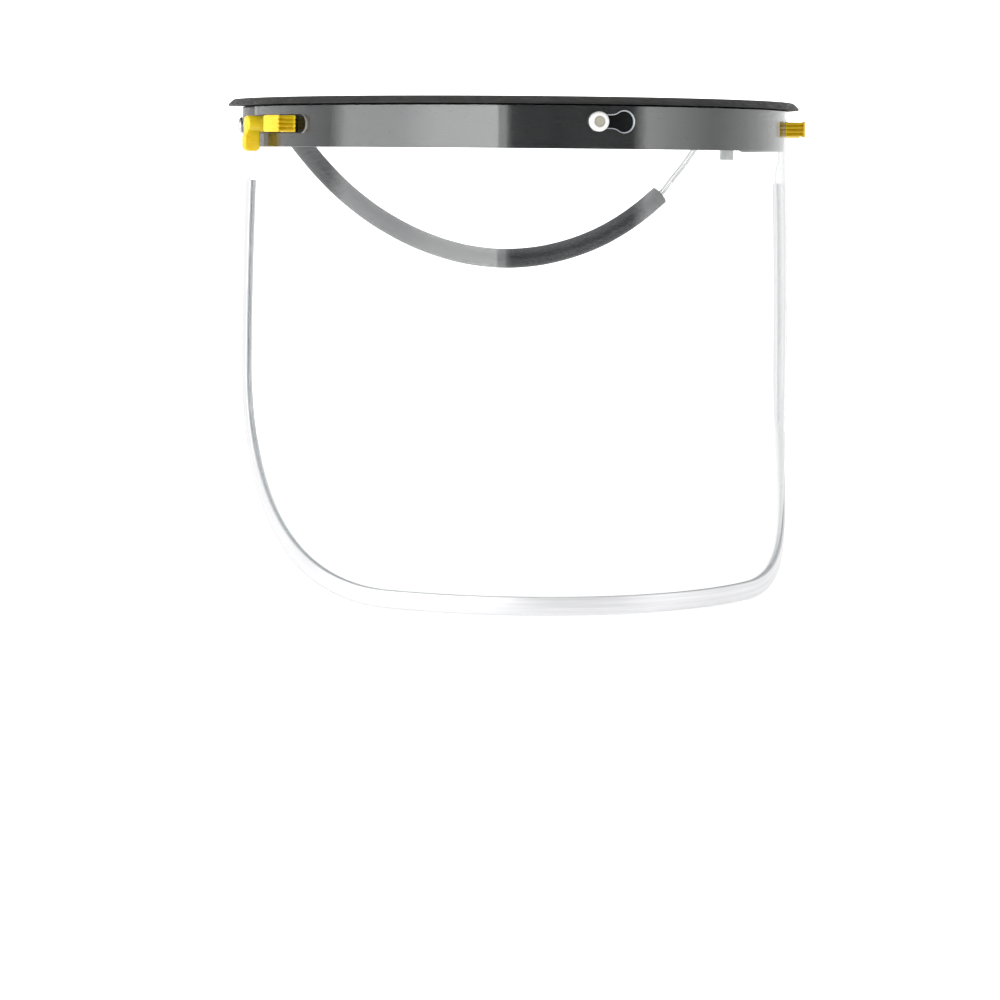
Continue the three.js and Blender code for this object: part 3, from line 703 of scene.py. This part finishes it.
def visor_outline():
    """The sheet's outline in (s, z), anticlockwise from the middle of the bottom edge."""
    flat, corner_top = SHEET_HALF_LENGTH - CORNER_WIDTH, SHEET_BOTTOM + CORNER_HEIGHT
    half = [(s, SHEET_BOTTOM) for s in even(0, flat, 30)[:-1]]
    for turn in even(0, math.pi / 2, 50)[:-1]:
        z = corner_top - CORNER_HEIGHT * math.cos(turn)
        half.append((flat + CORNER_WIDTH * math.sin(turn), z))
    half += [(SHEET_HALF_LENGTH, z) for z in even(corner_top, BINDING_START, 24)[:-1]]
    for turn in even(0, math.pi / 2, 10):
        s = TAB_HALF_LENGTH + (SHEET_HALF_LENGTH - TAB_HALF_LENGTH) * math.cos(turn)
        half.append((s, BINDING_START + SHOULDER_DROP * math.sin(turn)))
    low, high = LATCH_Z - SLOT_HALF_HEIGHT, LATCH_Z + SLOT_HALF_HEIGHT
    slot_centre = SLOT_END + SLOT_HALF_HEIGHT
    half += [(TAB_HALF_LENGTH, z) for z in even(SHOULDER_Z, low, 4)[1:-1]]
    half += [(s, low) for s in even(TAB_HALF_LENGTH, slot_centre, 18)[:-1]]
    for turn in even(-math.pi / 2, -3 * math.pi / 2, 18):
        s = slot_centre + SLOT_HALF_HEIGHT * math.cos(turn)
        half.append((s, LATCH_Z + SLOT_HALF_HEIGHT * math.sin(turn)))
    half += [(s, high) for s in even(slot_centre, TAB_HALF_LENGTH, 18)[1:]]
    half += [(TAB_HALF_LENGTH, z) for z in even(high, SHEET_TOP, 2)[1:]]
    half += [(s, SHEET_TOP) for s in even(TAB_HALF_LENGTH, 0, 60)[1:]]
    mirrored = [(-s, z) for s, z in reversed(half[1:-1])]
    return half + mirrored


def arc(centre_x, radius, turns):
    """Points at the turns about a centre on the x axis."""
    return [(centre_x + radius * math.cos(a), radius * math.sin(a)) for a in turns]


def keyhole_outline():
    """Round hole with a neck towards the stud, its two inner corners eased."""
    neck = math.asin(KEYHOLE_NECK / KEYHOLE_RADIUS)
    last = math.pi - neck - KEYHOLE_EASE
    corner_x = KEYHOLE_SHIFT - KEYHOLE_RADIUS * math.cos(neck)
    big = arc(KEYHOLE_SHIFT, KEYHOLE_RADIUS, even(-last, last, 32))
    bends = []
    for side, end in ((-1, big[0]), (1, big[-1])):
        start = Vector((corner_x - 2, side * KEYHOLE_NECK))
        corner = Vector((corner_x, side * KEYHOLE_NECK))
        bends.append([tuple(p) for p in bend(start, corner, Vector(end), 8)])
    points = arc(0, KEYHOLE_NECK, even(math.pi / 2, 3 * math.pi / 2, 16))
    points += bends[0] + big[1:-1] + bends[1][::-1]
    return [(x, STUD_Z + y) for x, y in points]


def inside(point, outline):
    hit = False
    for (x0, y0), (x1, y1) in zip(outline, outline[1:] + outline[:1]):
        if (y0 > point[1]) != (y1 > point[1]):
            if point[0] < x0 + (point[1] - y0) * (x1 - x0) / (y1 - y0):
                hit = not hit
    return hit


def near(point, others, distance):
    return any(math.hypot(point[0] - x, point[1] - y) < distance for x, y in others)


def crimp_line():
    """The line in (s, z) under the lips of the binding, from the left shoulder to the right."""
    stations = binding_route()
    line = [point + inward * (BINDING_DEPTH - CRIMP_OVERLAP) for point, inward in stations]
    return [stations[0][0], *line, stations[-1][0]]


def visor_shell(flat, sunk, triangles):
    """A closed piece of the sheet on (s, z) triangles: its vertices, and faces with normals.

    The normals are None on a flat face: a cut wall, or the bevel down to the sunk points.
    """
    used = sorted({i for face in triangles for i in face})
    outer = {i: order for order, i in enumerate(used)}
    inner = {i: order + len(used) for order, i in enumerate(used)}
    half = SHEET_THICKNESS / 2
    depths = [KEYHOLE_BEVEL if i in sunk else 0 for i in used]
    vertices = [sheet_point(*flat[i], half - depth) for i, depth in zip(used, depths)]
    vertices += [sheet_point(*flat[i], -half) for i in used]
    normals = {i: sheet_normal(*flat[i]) for i in used}
    borders = set()
    for face in triangles:
        for pair in zip(face, face[1:] + face[:1]):
            borders.symmetric_difference_update({tuple(sorted(pair))})
    faces = []
    for face in triangles:
        bevelled = any(i in sunk for i in face)
        faces.append(([outer[i] for i in face], None if bevelled else [normals[i] for i in face]))
        back = face[::-1]
        faces.append(([inner[i] for i in back], [-normals[i] for i in back]))
        for first, second in zip(face, face[1:] + face[:1]):
            if tuple(sorted((first, second))) in borders:
                faces.append(([outer[second], outer[first], inner[first], inner[second]], None))
    return vertices, faces


def visor_triangles():
    """The sheet in (s, z): its points, which of them are the keyhole's, and two triangle lists.

    The first list is the open sheet, and the second is the strip under the binding.
    """
    outline, keyhole, crimp = visor_outline(), keyhole_outline(), crimp_line()
    around = anticlockwise([Vector(point) for point in keyhole])
    bevel = [tuple(point) for point in inset(around, -KEYHOLE_RIM)]
    points, edges = [], []
    for line, closed in ((outline, True), (keyhole, True), (bevel, True), (crimp, False)):
        first, last = len(points), len(points) + len(line) - 1
        points += [tuple(point) for point in line]
        edges += [(i, i + 1) for i in range(first, last)]
        if closed:
            edges.append((last, first))
    hole = range(len(outline), len(outline) + len(keyhole))
    lines = list(points)
    for i, s in enumerate(even(-SHEET_HALF_LENGTH, SHEET_HALF_LENGTH, SHEET_COLUMNS)):
        for z in even(SHEET_BOTTOM + COLUMN_STARTS[i % 2], SHEET_TOP, SHEET_ROWS):
            point = (s, z)
            on_sheet = inside(point, outline) and not inside(point, keyhole)
            if on_sheet and not near(point, lines, SHEET_MARGIN):
                points.append(point)
    border = [list(range(len(outline)))]
    result = delaunay_2d_cdt([Vector(point) for point in points], edges, border, 1, 1e-5)
    flat = [tuple(point) for point in result[0]]
    sunk = {i for i, given in enumerate(result[3]) if given and given[0] in hole}
    strip = [tuple(point - inward) for point, inward in binding_route()]
    strip += [tuple(point) for point in reversed(crimp[1:-1])]
    clear, crimped = [], []
    for face in result[2]:
        middle = [sum(flat[i][k] for i in face) / 3 for k in (0, 1)]
        if inside(middle, keyhole):
            continue
        central = abs(middle[0]) < CENTRAL_HALF_LENGTH and middle[1] > SHEET_BOTTOM + BINDING_DEPTH
        (clear if central or not inside(middle, strip) else crimped).append(face)
    return flat, sunk, clear, crimped


def build_visor():
    """The clear sheet, and the strip under the binding, which takes the pale edge material as a
    painted highlight along the binding's mouth.
    """
    flat, sunk, clear, crimped = visor_triangles()
    vertices, faces, frosting_and_painted_highlight = [], [], []
    # The pale edge material goes on the cut walls, partly as frosting and partly as painted
    # highlight, and on the keyhole's bevel and the strip under the binding as painted highlight.
    for triangles, is_painted_highlight in ((clear, False), (crimped, True)):
        first = len(vertices)
        part_vertices, part_faces = visor_shell(flat, sunk, triangles)
        vertices += part_vertices
        for corners, normals in part_faces:
            faces.append(([first + i for i in corners], normals))
            frosting_and_painted_highlight.append(is_painted_highlight or normals is None)
    mesh = bpy.data.meshes.new("visor_sheet_look")
    mesh.from_pydata([v * MM for v in vertices], [], [corners for corners, normals in faces])
    mesh.materials.append(MATERIALS["clear_sheet"])
    mesh.materials.append(MATERIALS["cut_edge"])
    mesh.shade_smooth()
    corner_normals = []
    for polygon in mesh.polygons:
        polygon.material_index = int(frosting_and_painted_highlight[polygon.index])
        normals = faces[polygon.index][1]
        corner_normals += normals or [polygon.normal.copy()] * len(polygon.vertices)
    mesh.normals_split_custom_set(corner_normals)
    piece = bpy.data.objects.new("visor_sheet_look", mesh)
    bpy.context.scene.collection.objects.link(piece)
    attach(piece, BODY_OF["visor_sheet"])
    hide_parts("visor_sheet")


def binding_route():
    """(s, z, inward) stations round the visor's edge, from the left shoulder to the right."""
    corner_top, flat = SHEET_BOTTOM + CORNER_HEIGHT, SHEET_HALF_LENGTH - CORNER_WIDTH
    half = [(SHEET_HALF_LENGTH, z) for z in even(BINDING_START, corner_top, 30)[:-1]]
    for turn in even(0, math.pi / 2, 70):
        s = flat + CORNER_WIDTH * math.cos(turn)
        half.append((s, corner_top - CORNER_HEIGHT * math.sin(turn)))
    half += [(s, SHEET_BOTTOM) for s in even(flat, 0, 36)[1:]]
    route = [Vector((-s, z)) for s, z in half] + [Vector(p) for p in reversed(half[:-1])]
    stations = []
    for i, point in enumerate(route):
        along = (route[min(i + 1, len(route) - 1)] - route[max(i - 1, 0)]).normalized()
        stations.append((point, Vector((-along.y, along.x))))
    return stations


def build_binding():
    lip = SHEET_THICKNESS / 2 + LIP_GAP
    wall = SHEET_THICKNESS / 2 + GAP
    face = wall + BINDING_WALL
    section = rounded([
        (-BINDING_WEB, -face, 0.9), (BINDING_DEPTH, -face, 0.4), (BINDING_DEPTH, -lip, 0.12),
        (BINDING_DEPTH - LIP_LENGTH, -wall, 0.3), (-GAP, -wall, 0.35), (-GAP, wall, 0.35),
        (BINDING_DEPTH - LIP_LENGTH, wall, 0.3), (BINDING_DEPTH, lip, 0.12),
        (BINDING_DEPTH, face, 0.4),
        (-BINDING_WEB, face, 0.9),
    ])
    rings = []
    for point, inward in binding_route():
        places = [(point + inward * corner.x, corner.y) for corner in section]
        rings.append([sheet_point(place.x, place.y, out) for place, out in places])
    add_piece("edge_binding", skin(rings))


# ---- centre stud ----

def build_stud():
    base = SHEET_OUTER + GAP
    top = base + STUD_HEIGHT
    floor = top - RECESS_DEPTH
    washer_face = -BAND_THICKNESS - GAP
    washer_back = washer_face - STUD_WASHER_THICKNESS
    tail = washer_back - GAP
    profile = [(0, tail - 0.9), (STUD_TAIL - 0.8, tail - 0.9), (STUD_TAIL - 0.3, tail - 0.7)]
    profile += [(STUD_TAIL, tail - 0.3), (STUD_TAIL - 0.05, tail), (STUD_SHANK, tail)]
    profile += [(STUD_SHANK, base), (STUD_RADIUS - 0.25, base), (STUD_RADIUS, base + 0.25)]
    profile.append((STUD_RADIUS, top - STUD_ROUND))
    profile += quarter(STUD_RADIUS - STUD_ROUND, top - STUD_ROUND, STUD_ROUND, STUD_ROUND, 8)
    profile += [(RECESS_RADIUS + 0.25, top), (RECESS_RADIUS + 0.05, top - 0.08)]
    profile += [(RECESS_RADIUS, top - 0.25), (RECESS_RADIUS, floor), (0, floor)]
    add_piece("centre_stud", on_band(turned(profile), 0, STUD_Z))
    inlay = [(0, floor + 0.1), (INLAY_RADIUS - 0.05, floor + 0.1), (INLAY_RADIUS, floor + 0.2)]
    inlay += [(INLAY_RADIUS, top - 0.3), (INLAY_RADIUS - 0.15, top - 0.16), (1.3, top - 0.22)]
    inlay += [(0.9, top - 0.3), (0.5, top - 0.2), (0, top - 0.12)]
    add_piece("stud_inlay", on_band(turned(inlay), 0, STUD_Z), 50)
    shape = washer(STUD_SHANK + GAP, STUD_WASHER_RADIUS, washer_back, washer_face)
    add_piece("stud_washer", on_band(shape, 0, STUD_Z))


def washer(bore, rim, back, face):
    edge = 0.12
    profile = [(bore, back + edge), (bore + edge, back), (rim - edge, back), (rim, back + edge)]
    profile += [(rim, face - edge), (rim - edge, face), (bore + edge, face), (bore, face - edge)]
    profile.append(profile[0])
    return turned(profile)


# ---- side latches ----

def block_outline():
    """The block seen from outside: four flutes in front and rounded rear corners."""
    outline = []
    for t in even(0, BLOCK_FLUTES, BLOCK_FLUTES * 10):
        scallop = BLOCK_FLUTE_DEPTH * abs(math.sin(t * math.pi)) ** 0.7
        outline.append(Vector((-scallop, BLOCK_HALF_HEIGHT * (1 - 2 * t / BLOCK_FLUTES))))
    for turn in even(-math.pi / 2, math.pi / 2, 14):
        side = -1 if turn < 0 else 1
        x = BLOCK_LENGTH - 1 + math.cos(turn)
        outline.append(Vector((x, side * (BLOCK_HALF_HEIGHT - 1) + math.sin(turn))))
    return outline


def guide_block():
    top = LATCH_HEIGHT
    layers = eased(0.2, GAP, -1) + [(0, 0.95), (0.1, 1.08), (0.38, 1.2), (0.42, 1.4)]
    layers += [(0.42, top - 1.3), (0.38, top - 1.1), (0.1, top - 0.98), (0, top - 0.8)]
    layers += eased(0.45, top, 1, 6)[1:]
    return stack(block_outline(), layers)


def wing(turn):
    """A round hub with a paddle that points along local -y before it is turned."""
    top, tip = LATCH_HEIGHT, LATCH_HEIGHT + WING_TIP_OVERHANG
    side = rounded([
        (HUB_RADIUS - HUB_ROUND, WING_LIFT, 0.4), (HUB_RADIUS - HUB_ROUND, top - 0.1, 0.5),
        (-HUB_RADIUS, top - 0.1, 0.8), (-HUB_RADIUS - 1.6, tip, 0.8),
        (-WING_LENGTH, tip, 2.6), (-WING_LENGTH, WING_LIFT, 2.6),
    ], 6)
    half = WING_THICKNESS / 2
    layers = eased(0.9, -half, -1, 5) + eased(0.9, half, 1, 5)
    paddle = moved(stack(side, layers), lambda v: Vector((v.z, v.x, v.y)))
    rim = top - 0.5
    hub = [(0, GAP), (HUB_RADIUS - 0.2, GAP), (HUB_RADIUS, GAP + 0.2)]
    hub.append((HUB_RADIUS, rim - HUB_ROUND))
    hub += quarter(HUB_RADIUS - HUB_ROUND, rim - HUB_ROUND, HUB_ROUND, HUB_ROUND, 6)
    hub.append((0, rim))
    across, up = math.cos(turn), math.sin(turn)

    def spin(v):
        return Vector((v.x * across - v.y * up, v.x * up + v.y * across, v.z))

    return moved(merged(paddle, turned(hub)), spin)


def pin():
    face = -BAND_THICKNESS - LATCH_WASHER_THICKNESS - 2 * GAP
    profile = [(0, face - 1), (PIN_HEAD - 0.8, face - 1), (PIN_HEAD - 0.3, face - 0.8)]
    profile += [(PIN_HEAD, face - 0.4), (PIN_HEAD, face), (PIN_RADIUS, face)]
    profile += [(PIN_RADIUS, PIN_END - 0.1), (PIN_RADIUS - 0.1, PIN_END), (0, PIN_END)]
    return turned(profile)


def build_latch(side_name, side, turn):
    s = side * WING_S
    face = -BAND_THICKNESS - GAP
    back = face - LATCH_WASHER_THICKNESS
    ring_shape = washer(PIN_RADIUS + GAP, LATCH_WASHER_RADIUS, back, face)
    add_piece(side_name + "_guide_block", on_band(guide_block(), side * BLOCK_FRONT, LATCH_Z))
    add_piece(side_name + "_latch_wing", on_band(wing(turn), s, LATCH_Z))
    add_piece(side_name + "_latch_pin", on_band(pin(), s, LATCH_Z))
    add_piece(side_name + "_latch_washer", on_band(ring_shape, s, LATCH_Z))


# ---- rear rivets and clips ----

def rivet():
    tail = -BAND_THICKNESS - CLIP_THICKNESS - 3 * GAP
    profile = [(0, tail - 1), (RIVET_TAIL - 0.8, tail - 1), (RIVET_TAIL - 0.3, tail - 0.85)]
    profile += [(RIVET_TAIL, tail - 0.5), (RIVET_TAIL, tail), (RIVET_SHANK, tail)]
    profile += [(RIVET_SHANK, GAP), (RIVET_RADIUS - 0.1, GAP), (RIVET_RADIUS, GAP + 0.1)]
    profile.append((RIVET_RADIUS, RIVET_RIM))
    return turned(profile + quarter(0, RIVET_RIM, RIVET_RADIUS, RIVET_DOME, 12))


def clip_line(side, ear_x):
    """The clip seen from above, with its bends eased."""
    inner = -BAND_THICKNESS - GAP - CLIP_THICKNESS / 2
    stations = even(RIVET_S - 7, BAND_HALF_LENGTH - 1.5, 6)
    line = [band_point(side * s, inner, 0).xy for s in stations]
    corners = [line[-1], Vector((line[-1].x - side * 1.2, CLIP_FACE_Y))]
    corners += [Vector((ear_x, CLIP_FACE_Y)), Vector((ear_x, CLIP_EAR_END_Y))]
    for last_corner, corner, next_corner in zip(corners, corners[1:], corners[2:]):
        before, after = last_corner - corner, next_corner - corner
        cut = min(CLIP_BEND, 0.4 * before.length, 0.4 * after.length)
        first, last = corner + before.normalized() * cut, corner + after.normalized() * cut
        line += bend(first, corner, last, 6)
    return line + corners[-1:]


def ribbon(line, thickness):
    near_side, far_side = [], []
    for i, point in enumerate(line):
        along = (line[min(i + 1, len(line) - 1)] - line[max(i - 1, 0)]).normalized()
        across = Vector((-along.y, along.x)) * thickness / 2
        near_side.append(point + across)
        far_side.append(point - across)
    return near_side + far_side[::-1]


def build_rear_end(side_name, side):
    ear_x, bottom = EAR_X[side_name], LATCH_Z - CLIP_HALF_HEIGHT
    outline = ribbon(clip_line(side, ear_x), CLIP_THICKNESS)
    clip = slab(outline, bottom, bottom + 2 * CLIP_HALF_HEIGHT, 0.2)
    if side > 0:
        first, last = ear_x + 1, ear_x + 1 + RIGHT_TAB_WIDTH
        low, high = RIGHT_TAB_Z, bottom + 0.8
        corners = [(first, low, 0.8), (last, low, 0.8), (last, high, 0.1), (first, high, 0.1)]
        half = CLIP_THICKNESS / 2 - 0.02
        tab = slab(rounded(corners), -CLIP_FACE_Y - half, -CLIP_FACE_Y + half, 0.2)
        clip = merged(clip, moved(tab, lambda v: Vector((v.x, -v.z, v.y))))
    add_piece(side_name + "_strap_clip", clip)
    add_piece(side_name + "_end_rivet", on_band(rivet(), side * RIVET_S, LATCH_Z))


# ---- rear strap ----

def strap_curve(first, last, steps):
    """Points of the Catmull-Rom line through STRAP_LINE, from one of its points to another."""
    given = [Vector((x, STRAP_Y, z)) for x, z in STRAP_LINE[first:last + 1]]
    given = [2 * given[0] - given[1]] + given + [2 * given[-1] - given[-2]]
    line = []
    for i in range(1, len(given) - 2):
        p0, p1, p2, p3 = given[i - 1:i + 3]
        for t in even(0, 1, steps)[:-1]:
            line.append(0.5 * (2 * p1 + (p2 - p0) * t + (2 * p0 - 5 * p1 + 4 * p2 - p3) * t**2
                               + (3 * p1 - p0 - 3 * p2 + p3) * t**3))
    return line + [given[-2]]


def even_line(line, step):
    """The line again, with points a step apart."""
    lengths = [0]
    for a, b in zip(line, line[1:]):
        lengths.append(lengths[-1] + (b - a).length)
    points = []
    for at in even(0, lengths[-1], round(lengths[-1] / step)):
        i = min(max(1, bisect_left(lengths, at)), len(line) - 1)
        share = (at - lengths[i - 1]) / (lengths[i] - lengths[i - 1])
        points.append(line[i - 1].lerp(line[i], share))
    return points


def tangent(line, i):
    return (line[min(i + 1, len(line) - 1)] - line[max(i - 1, 0)]).normalized()


def ring(centre, along, side, radius, sides):
    up = along.cross(side).normalized()
    across = up.cross(along).normalized()
    angles = [2 * math.pi * i / sides for i in range(sides)]
    return [centre + radius * (across * math.cos(a) + up * math.sin(a)) for a in angles]


def tube(line, radii, sides=28):
    across = Vector((0, 1, 0))
    return skin([ring(line[i], tangent(line, i), across, radius, sides) for i, radius in radii])


def build_sleeve():
    line = even_line(strap_curve(SLEEVE_FIRST, SLEEVE_LAST, 12), 1.5)
    last = len(line) - 1
    across = Vector((0, 1, 0))
    rings = []
    for i in range(last + 1):
        along = tangent(line, i)
        end = {0: -1, last: 1}.get(i)
        if end is None:
            rings.append(ring(line[i], along, across, SLEEVE_RADIUS, 36))
            continue
        lip = []
        for back, smaller in ((0.5, 0), (0.15, 0.1), (0, 0.4)):
            centre = line[i] - along * back * end
            lip.append(ring(centre, along, across, SLEEVE_RADIUS - smaller, 36))
        rings += lip if end > 0 else lip[::-1]
    for i in range(last, -1, -1):
        rings.append(ring(line[i], tangent(line, i), across, SLEEVE_BORE, 36))
    return add_piece("strap_sleeve", skin(rings, joined=True))


def build_spring():
    """The close-wound coil: a wire that follows the strap's line in a helix."""
    steps = 12
    line = even_line(strap_curve(0, len(STRAP_LINE) - 1, 12), SPRING_PITCH / steps)
    radius = SPRING_RADIUS - SPRING_WIRE
    coil, out = [], []
    for i, point in enumerate(line):
        along = tangent(line, i)
        up = along.cross(Vector((0, 1, 0)))
        turn = 2 * math.pi * i / steps
        out.append(Vector((0, 1, 0)) * math.cos(turn) + up * math.sin(turn))
        coil.append(point + out[-1] * radius)
    rings = []
    for i, point in enumerate(coil):
        rings.append(ring(point, tangent(coil, i), out[i], SPRING_WIRE, 6))
    return add_piece("strap_spring", skin(rings), 80), line[::steps]


def build_hook(side_name, side, end, along):
    ear_x = EAR_X[side_name]
    start = end + along * 2 * GAP
    knee = Vector((ear_x - side * HOOK_KNEE, STRAP_Y, LATCH_Z))
    straight = Vector((ear_x - side * HOOK_REACH, STRAP_Y, LATCH_Z))
    line = bend(start, knee, straight, 24)
    line += [straight + Vector((side * t, 0, 0)) for t in even(0, 3.6, 6)[1:]]
    radii = [(0, HOOK_RADIUS * 0.8)] + [(i, HOOK_RADIUS) for i in range(1, len(line))]
    rim = HOOK_HEAD_RADIUS
    head = [(0, -0.45), (rim - 0.15, -0.45), (rim, -0.3), (rim, 0.3), (rim - 0.15, 0.45), (0, 0.45)]
    centre = Vector((ear_x + side * HOOK_HEAD_PLACE, STRAP_Y, LATCH_Z))
    cap = moved(turned(head, 40), lambda v: centre + Vector((v.z, v.x, v.y)))
    return add_piece(side_name + "_spring_hook", merged(tube(line, radii, 20), cap))


def build_strap():
    spring, path = build_spring()
    sleeve = build_sleeve()
    left = build_hook("left", -1, path[0], (path[0] - path[1]).normalized())
    right = build_hook("right", 1, path[-1], (path[-1] - path[-2]).normalized())


# ---- studio ----

# In metres
FLOOR_HALF_SIZE = 0.7
FLOOR_DROP = 0.0006


def make_floor():
    bottom = cad_box[0].z - FLOOR_DROP
    mesh = bpy.data.meshes.new("floor")
    half = FLOOR_HALF_SIZE
    corners = [(-half, -half), (half, -half), (half, half), (-half, half)]
    mesh.from_pydata([(x, y, bottom) for x, y in corners], [], [(0, 1, 2, 3)])
    material, tree, shader, place = new_material("pale_floor")
    cloud = noise(tree, place.outputs["Object"], 3)
    tone = ramp(tree, cloud, [(0, (0.86, 0.86, 0.86)), (1, (0.9, 0.9, 0.9))])
    connect(tree, shader, Base_Color=tone, Roughness=0.9)
    connect(tree, shader, Emission_Color=(1, 1, 1, 1), Emission_Strength=0.4)
    mesh.materials.append(material)
    floor = bpy.data.objects.new("floor", mesh)
    bpy.context.scene.collection.objects.link(floor)


# Brightness of the studio's walls by the direction seen from the shield, in degrees from the front
WALLS = [
    (-180, 1.3), (-160, 1.1), (-145, 1), (-135, 1.05), (-122, 0.9), (-108, 0.85),
    (-100, 2.8), (-75, 3.1), (-60, 4.2), (-32, 4.7), (-30.5, 1.5), (-29, 3), (-27, 0.9),
    (-25, 0.28), (34, 0.28), (42, 2.7), (54, 2), (71, 1.3), (80, 1), (105, 1), (132, 1.1),
    (145, 1.2), (160, 1.3), (180, 1.3),
]
# The walls' brightest level, and the heights in degrees between which they fade out
WALL_LIMIT = 5
WALL_REACH = (14, 30)
# The ceiling's levels above the walls and overhead, and the heights in degrees between them
CEILING = (0.45, 1.3)
CEILING_REACH = (35, 65)
BACKDROP = 2.2


def make_world():
    """Soft white walls to the left and right, a dark gap between them and a pale ceiling."""
    world = bpy.data.worlds.new("studio")
    bpy.context.scene.world = world
    world.use_nodes = True
    tree = world.node_tree
    tree.nodes.clear()
    direction = add_node(tree, "ShaderNodeTexCoord").outputs["Generated"]
    axes = add_node(tree, "ShaderNodeSeparateXYZ", {"Vector": direction}).outputs
    angle = maths(tree, "ARCTAN2", axes["X"], maths(tree, "MULTIPLY", axes["Y"], -1))
    turn = spread(tree, angle, 0, 1, -math.pi, math.pi)
    stops = [((degrees + 180) / 360, (level / WALL_LIMIT,) * 3) for degrees, level in WALLS]
    walls = maths(tree, "MULTIPLY", ramp(tree, turn, stops), WALL_LIMIT)
    height = maths(tree, "ABSOLUTE", maths(tree, "ARCSINE", axes["Z"]))
    share = spread(tree, height, 1, 0, *[math.radians(limit) for limit in WALL_REACH])
    above = spread(tree, height, *CEILING, *[math.radians(limit) for limit in CEILING_REACH])
    ceiling = maths(tree, "MULTIPLY", maths(tree, "SUBTRACT", 1, share), above)
    level = maths(tree, "ADD", maths(tree, "MULTIPLY", walls, share), ceiling)
    seen = add_node(tree, "ShaderNodeLightPath").outputs["Is Camera Ray"]
    shown = maths(tree, "MULTIPLY", seen, BACKDROP)
    lit = maths(tree, "MULTIPLY", maths(tree, "SUBTRACT", 1, seen), level)
    strength = maths(tree, "ADD", shown, lit)
    light = add_node(tree, "ShaderNodeBackground", {"Color": (1, 1, 1, 1), "Strength": strength})
    out = add_node(tree, "ShaderNodeOutputWorld")
    tree.links.new(light.outputs[0], out.inputs["Surface"])


make_camera()
MATERIALS = make_materials()
build_strap()
build_band()
build_seal()
build_visor()
build_binding()
build_stud()
build_latch("left", -1, 0)
build_latch("right", 1, math.pi / 2)
build_rear_end("left", -1)
build_rear_end("right", 1)
make_floor()
make_world()
bpy.context.scene.view_settings.view_transform = "Standard"
